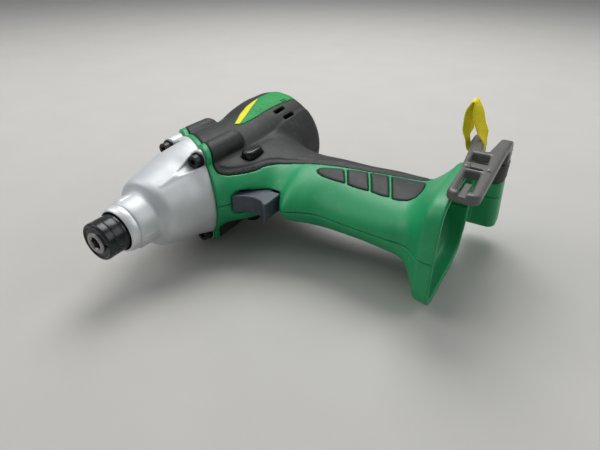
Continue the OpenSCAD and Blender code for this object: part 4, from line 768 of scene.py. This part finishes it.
# Finishes by the record's slots, and the hub's, the sweep's and the thumb rests' own
FINISHES = {
    "housing_green": dict(colour=(0.007, 0.30, 0.105), rough=0.42, mottle=0.05, grain_mm=0.6, grain=0.03, scuff=0.25),
    "soft_grey": dict(colour=(0.024, 0.026, 0.024), rough=0.52, mottle=0.12, mottle_mm=9, grain_mm=0.5, grain=0.05,
                      scuff=0.6, specular=0.3),
    "label": dict(colour=(0.012, 0.30, 0.07), rough=0.5, mottle=0.03, grain=0.004, specular=0.2),
    "case_alloy": dict(colour=(0.62, 0.64, 0.65), rough=0.48, metal=0.4, mottle=0.04, grain_mm=0.8, grain=0.02,
                       scuff=0.06),
    "nose_steel": dict(colour=(0.76, 0.78, 0.8), rough=0.42, metal=0.6, mottle=0.04, stretch=(1, 4, 1), grain=0.015),
    "sleeve_black": dict(colour=(0.008, 0.009, 0.011), rough=0.25, metal=0.1, mottle=0.2, grain=0.01, scuff=2.0,
                         stretch=(1, 3, 1)),
    "spring_steel": dict(colour=(0.42, 0.43, 0.45), rough=0.3, metal=1.0, grain=0.01),
    "blackened_steel": dict(colour=(0.028, 0.028, 0.03), rough=0.36, metal=0.5, mottle=0.2, grain=0.02, scuff=1.5),
    "polished_steel": dict(colour=(0.6, 0.58, 0.55), rough=0.2, metal=1.0, grain=0.006),
    "tool_steel": dict(colour=(0.33, 0.32, 0.31), rough=0.34, metal=1.0, mottle=0.1, grain=0.02, scuff=0.3),
    "bush_bronze": dict(colour=(0.5, 0.31, 0.13), rough=0.45, metal=1.0, grain_mm=0.3, grain=0.03),
    "nylon": dict(colour=(0.72, 0.69, 0.6), rough=0.5, grain=0.01),
    "black_plastic": dict(colour=(0.025, 0.025, 0.027), rough=0.5, mottle=0.15, grain=0.02),
    "gloss_black": dict(colour=(0.006, 0.006, 0.007), rough=0.2, mottle=0.15, grain=0.006, specular=0.35),
    "laminations": dict(colour=(0.2, 0.19, 0.18), rough=0.45, metal=0.9, stretch=(1, 60, 1), mottle=0.4,
                        mottle_mm=20, grain=0.02),
    "copper": dict(colour=(0.62, 0.24, 0.11), rough=0.35, metal=1.0, stretch=(1, 1, 12), mottle=0.2, mottle_mm=4,
                   grain=0.05),
    "plated_steel": dict(colour=(0.42, 0.41, 0.38), rough=0.36, metal=0.95, mottle=0.08, grain=0.015),
    "ferrite": dict(colour=(0.035, 0.034, 0.036), rough=0.65, grain_mm=0.3, grain=0.05),
    "trigger_grey": dict(colour=(0.05, 0.06, 0.078), rough=0.42, mottle=0.06, grain=0.02, scuff=0.5),
    "hook_grey": dict(colour=(0.1, 0.1, 0.092), rough=0.36, mottle=0.05, grain=0.02, scuff=0.4),
    "hub_charcoal": dict(colour=(0.042, 0.042, 0.04), mottle=0.08, grain=0.02),
    "label_yellow": dict(colour=(0.85, 0.74, 0.015), rough=0.5, mottle=0.03, grain=0.004, specular=0.2),
    # Thumb rests: a paler grey than the hook's, a painted highlight, and glossier
    "painted_highlight_hook_grey": dict(colour=(0.16, 0.16, 0.15), rough=0.2, mottle=0.06, grain=0.01),
    "pale_floor": dict(colour=(0.50, 0.49, 0.465), rough=0.85, mottle=0.02, mottle_mm=60, grain=0.02),
}
LOOK = {name: finish(name, **how) for name, how in FINISHES.items()}
LOOK["yellow_webbing"] = webbing("yellow_webbing", (1.0, 0.84, 0.01))


# ---- putting pieces in place ----
NODE_BODY = {n: b for b, names in frame["record"]["behaviour"]["bodies"].items() for n in names}
NODE_SLOT = {s["node"]: s["material_slot"] for s in frame["record"]["subparts"]}


def stands_for(thing, node):
    """The piece rides with the node's body and replaces it."""
    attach(thing, NODE_BODY[node])
    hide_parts(node)
    return thing


def goes_with(thing, node):
    """The piece is an extra one on the node's body."""
    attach(thing, NODE_BODY[node])
    return thing


def moulded(node, field, low, high, cell=None, material=None):
    """A node's piece laid on a field."""
    points, faces = skin_of(field, low, high, cell)
    return stands_for(piece(node + "_piece", points, faces, material or LOOK[NODE_SLOT[node]]), node)


def added(name, node, field, low, high, cell, material):
    """A further piece laid on a field, which belongs to a node."""
    points, faces = skin_of(field, low, high, cell)
    return goes_with(piece(name, points, faces, material), node)


for side, hand in ((1, "left"), (-1, "right")):
    flat = (0, 36) if side > 0 else (-36, 0)
    moulded("housing_" + hand, housing(side), (-36, 52, flat[0]), (168, 175, flat[1]), HOUSING_CELL)
    moulded("overmould_" + hand, overmould(side), (-36, 62, flat[0]), (134, 175, flat[1]))
    reach = (8, 24) if side > 0 else (-24, -8)
    moulded("grip_pads_" + hand, grip_pads(side), (69, 93, reach[0]), (134, 121, reach[1]), CELL * 0.8)
moulded("hammer_case", hammer_case, (-36, 16, -36), (33, 97, 36))
moulded("label_plate", label_plate, (-6, 108, 24), (15, 171, 36.5), CELL * 0.7)
added("label_sweep", "label_plate", label_sweep, (-6, 108, 24), (9, 153, 36.5), CELL * 0.45, LOOK["label_yellow"])
moulded("trigger", trigger, (33, 64, -6.5), (58, 99, 6.5), CELL * 0.6)
moulded("reversing_button", reversing_button, (24, 86, -25), (34.5, 104, 25), CELL * 0.6)
moulded("hook_arm", ribbed_arm, (143, 74, 20), (166, 169, 39), CELL * 0.65)
# The thumb rests take the paler grey with the painted highlight
added("thumb_pads", "hook_arm", thumb_pads, (148, 102, 33), (165, 111, 39.5), CELL * 0.35, LOOK["painted_highlight_hook_grey"])
moulded("hook_hub", hub, (142, 151, 9), (168, 172, 21), CELL * 0.6, LOOK["hub_charcoal"])

POCKET_R, LAND_Y, BALL_Y = ANVIL_R + 2.6, 8.5, 10.5
sleeve = revolved("bit_sleeve_piece", [
    (POCKET_R, 0.5), (SLEEVE_R - 0.9, 0), (SLEEVE_R - 0.2, 0.4), (SLEEVE_R, 1.2), (SLEEVE_R, 4.5),
    (SLEEVE_R - 0.35, 4.7), (SLEEVE_R - 0.35, 5.1), (SLEEVE_R - 0.05, 5.3), (SLEEVE_R - 0.05, 9.8),
    (SLEEVE_R - 0.4, 10), (SLEEVE_R - 0.4, 10.5), (SLEEVE_R - 0.1, 10.7), (SLEEVE_R - 0.1, SLEEVE_L - 0.6),
    (SLEEVE_R - 0.9, SLEEVE_L), (ANVIL_R + 2.1, SLEEVE_L), (ANVIL_R + 2.1, BALL_Y + 2.4), (ANVIL_R + 0.1, BALL_Y + 2),
    (ANVIL_R + 0.1, LAND_Y), (POCKET_R, LAND_Y)],
    LOOK["sleeve_black"], round_off=0.12)
stands_for(sleeve, "bit_sleeve")
ring = revolved("nose_ring_piece", [
    (NECK_R - 2.2, 12.8), (NECK_R - 1.9, 12.4), (NECK_R - 1.3, 12.7), (NECK_R - 0.7, 13.6), (NECK_R - 0.2, 15),
    (NECK_R, 16.2), (NECK_R, SEAM_Y - 0.3), (NECK_R - 0.3, SEAM_Y), (NECK_R - 1.1, SEAM_Y),
    (NECK_R - 1.1, SEAM_Y - 3), (NECK_R - 2.2, SEAM_Y - 3)],
    LOOK["nose_steel"], round_off=0.3)
stands_for(ring, "nose_ring")

STRAP_MID = TINE_X0 + RAIL / 2
STRAP_PATH = [(STRAP_MID + a, b) for a, b in (
    (-0.1, PLATE_LOW - STRAP_T - 1.6), (-4.1, PLATE_LOW - 1.3), (-6.0, PLATE_LOW + 4.6), (-6.6, PLATE_LOW + 10),
    (-6.9, PLATE_LOW + 16), (-6.8, STRAP_TIP - 5.2), (-6.3, STRAP_TIP - 1.4), (-4.8, STRAP_TIP - 1.7),
    (-2.7, STRAP_TIP - 7.8), (-0.8, PLATE_LOW + 13), (1.5, PLATE_LOW + 8.6), (3.2, PLATE_LOW + 4.6),
    (3.9, PLATE_LOW - 1.1))]


def strap():
    """Flat webbing: a rounded strip carried round a closed path, one point for each place on it and turn of its section.

    The strip is twisted, from nothing at the tine to STRAP_TWIST radians and back to nothing at the fold on top.
    """
    p = np.array(STRAP_PATH)
    n, m, round_it = len(p), 156, 36
    u = np.arange(m) * n / m
    i, t = u.astype(int), (u % 1)[:, None]
    path = cubic(*(p[(i + k) % n] for k in (-1, 0, 1, 2)), t)
    way = np.roll(path, -1, 0) - np.roll(path, 1, 0)
    outward = np.stack([way[:, 1], -way[:, 0]], 1) / np.linalg.norm(way, axis=1)[:, None]
    turn = np.linspace(0, 2 * math.pi, round_it, endpoint=False)
    across = np.sign(np.cos(turn)) * np.abs(np.cos(turn)) ** 0.35 * STRAP_W / 2
    thick = np.sign(np.sin(turn)) * np.abs(np.sin(turn)) ** 0.6 * STRAP_T / 2
    amount = eased((path[:, 1] - PLATE_LOW - 3.5) / 6) * eased((STRAP_TIP - 0.3 - path[:, 1]) / 7.5)
    twist = STRAP_TWIST * amount[:, None]
    points = np.empty((m, round_it, 3))
    points[:, :, 0] = path[:, 0, None] + outward[:, 0, None] * thick * np.cos(twist) + across * np.sin(twist)
    points[:, :, 2] = path[:, 1, None] + outward[:, 1, None] * thick
    points[:, :, 1] = POD[1] - 1 - STRAP_W / 2 + across * np.cos(twist) - outward[:, 0, None] * thick * np.sin(twist)
    return points.reshape(-1, 3), grid_faces(m, round_it, close_rows=True)


stands_for(piece("strap_piece", *strap(), LOOK["yellow_webbing"]), "strap_loop")


def dressed(node, bevel_mm, angle=28):
    """A copy of a node's own mesh, merged, its flat faces joined and its edges bevelled."""
    source = frame["nodes"][node]
    mesh = source.data.copy()
    b = bmesh.new()
    b.from_mesh(mesh)
    bmesh.ops.remove_doubles(b, verts=b.verts, dist=2e-6)
    bmesh.ops.dissolve_limit(b, angle_limit=math.radians(0.5), verts=b.verts, edges=b.edges)
    b.to_mesh(mesh)
    b.free()
    mesh.materials.clear()
    mesh.materials.append(LOOK[NODE_SLOT[node]])
    mesh.set_sharp_from_angle(angle=math.radians(angle))
    mesh.polygons.foreach_set("use_smooth", np.ones(len(mesh.polygons), bool))
    thing = bpy.data.objects.new(node + "_piece", mesh)
    bpy.context.scene.collection.objects.link(thing)
    edge = thing.modifiers.new("edges", "BEVEL")
    edge.width, edge.segments, edge.limit_method, edge.angle_limit = bevel_mm / 1000, 2, "ANGLE", math.radians(angle)
    return stands_for(thing, node)


for node, bevel_mm in (("anvil", 0.12), ("case_bolts", 0.35), ("bolt_washers", 0.2), ("housing_screws", 0.2),
                       ("hook_screw", 0.25)):
    dressed(node, bevel_mm)
for node, thing in frame["nodes"].items():
    for k in range(max(1, len(thing.material_slots))):
        if thing.material_slots:
            thing.material_slots[k].material = LOOK[NODE_SLOT[node]]
        else:
            thing.data.materials.append(LOOK[NODE_SLOT[node]])

# ---- floor, light and camera ----
floor_mesh = bpy.data.meshes.new("floor")
floor_mesh.from_pydata([(-3, -3, 0), (3, -3, 0), (3, 3, 0), (-3, 3, 0)], [], [(0, 1, 2, 3)])
floor = bpy.data.objects.new("floor", floor_mesh)
bpy.context.scene.collection.objects.link(floor)
floor_mesh.materials.append(LOOK["pale_floor"])

world = bpy.data.worlds.new("studio")
bpy.context.scene.world = world
world.use_nodes = True
world.node_tree.nodes["Background"].inputs["Color"].default_value = (0.93, 0.96, 1.0, 1)
world.node_tree.nodes["Background"].inputs["Strength"].default_value = 0.28


def lamp(name, place, power, size):
    """A square soft light, turned to the middle of the tool."""
    data = bpy.data.lights.new(name, "AREA")
    data.energy, data.size = power, size
    thing = bpy.data.objects.new(name, data)
    thing.location = place
    thing.rotation_mode = "QUATERNION"
    thing.rotation_quaternion = (Vector((0, 0, 0.03)) - Vector(place)).to_track_quat("-Z", "Y")
    bpy.context.scene.collection.objects.link(thing)


lamp("key", (-0.25, 0.55, 0.95), 9.2, 0.7)
lamp("fill", (-0.75, -0.35, 0.85), 4.6, 0.9)
lamp("rim", (0.8, 0.5, 0.6), 2.4, 0.7)

EYE = in_frame((187.05, -108.75, 131.03))
AHEAD, RIGHT, UP = (-0.4392, 0.7221, -0.5345), (0.8544, 0.5196, 0.0), (-0.2777, 0.4567, 0.8452)
camera_data = bpy.data.cameras.new("camera")
camera_data.lens, camera_data.sensor_width, camera_data.clip_start = 27.3, 36.0, 0.01
camera = bpy.data.objects.new("camera", camera_data)
turn = Matrix((RIGHT, UP, tuple(-v for v in AHEAD))).transposed().to_4x4()
camera.matrix_world = Matrix.Translation(EYE) @ turn
bpy.context.scene.collection.objects.link(camera)
bpy.context.scene.camera = camera
bpy.context.scene.view_settings.view_transform = "Standard"
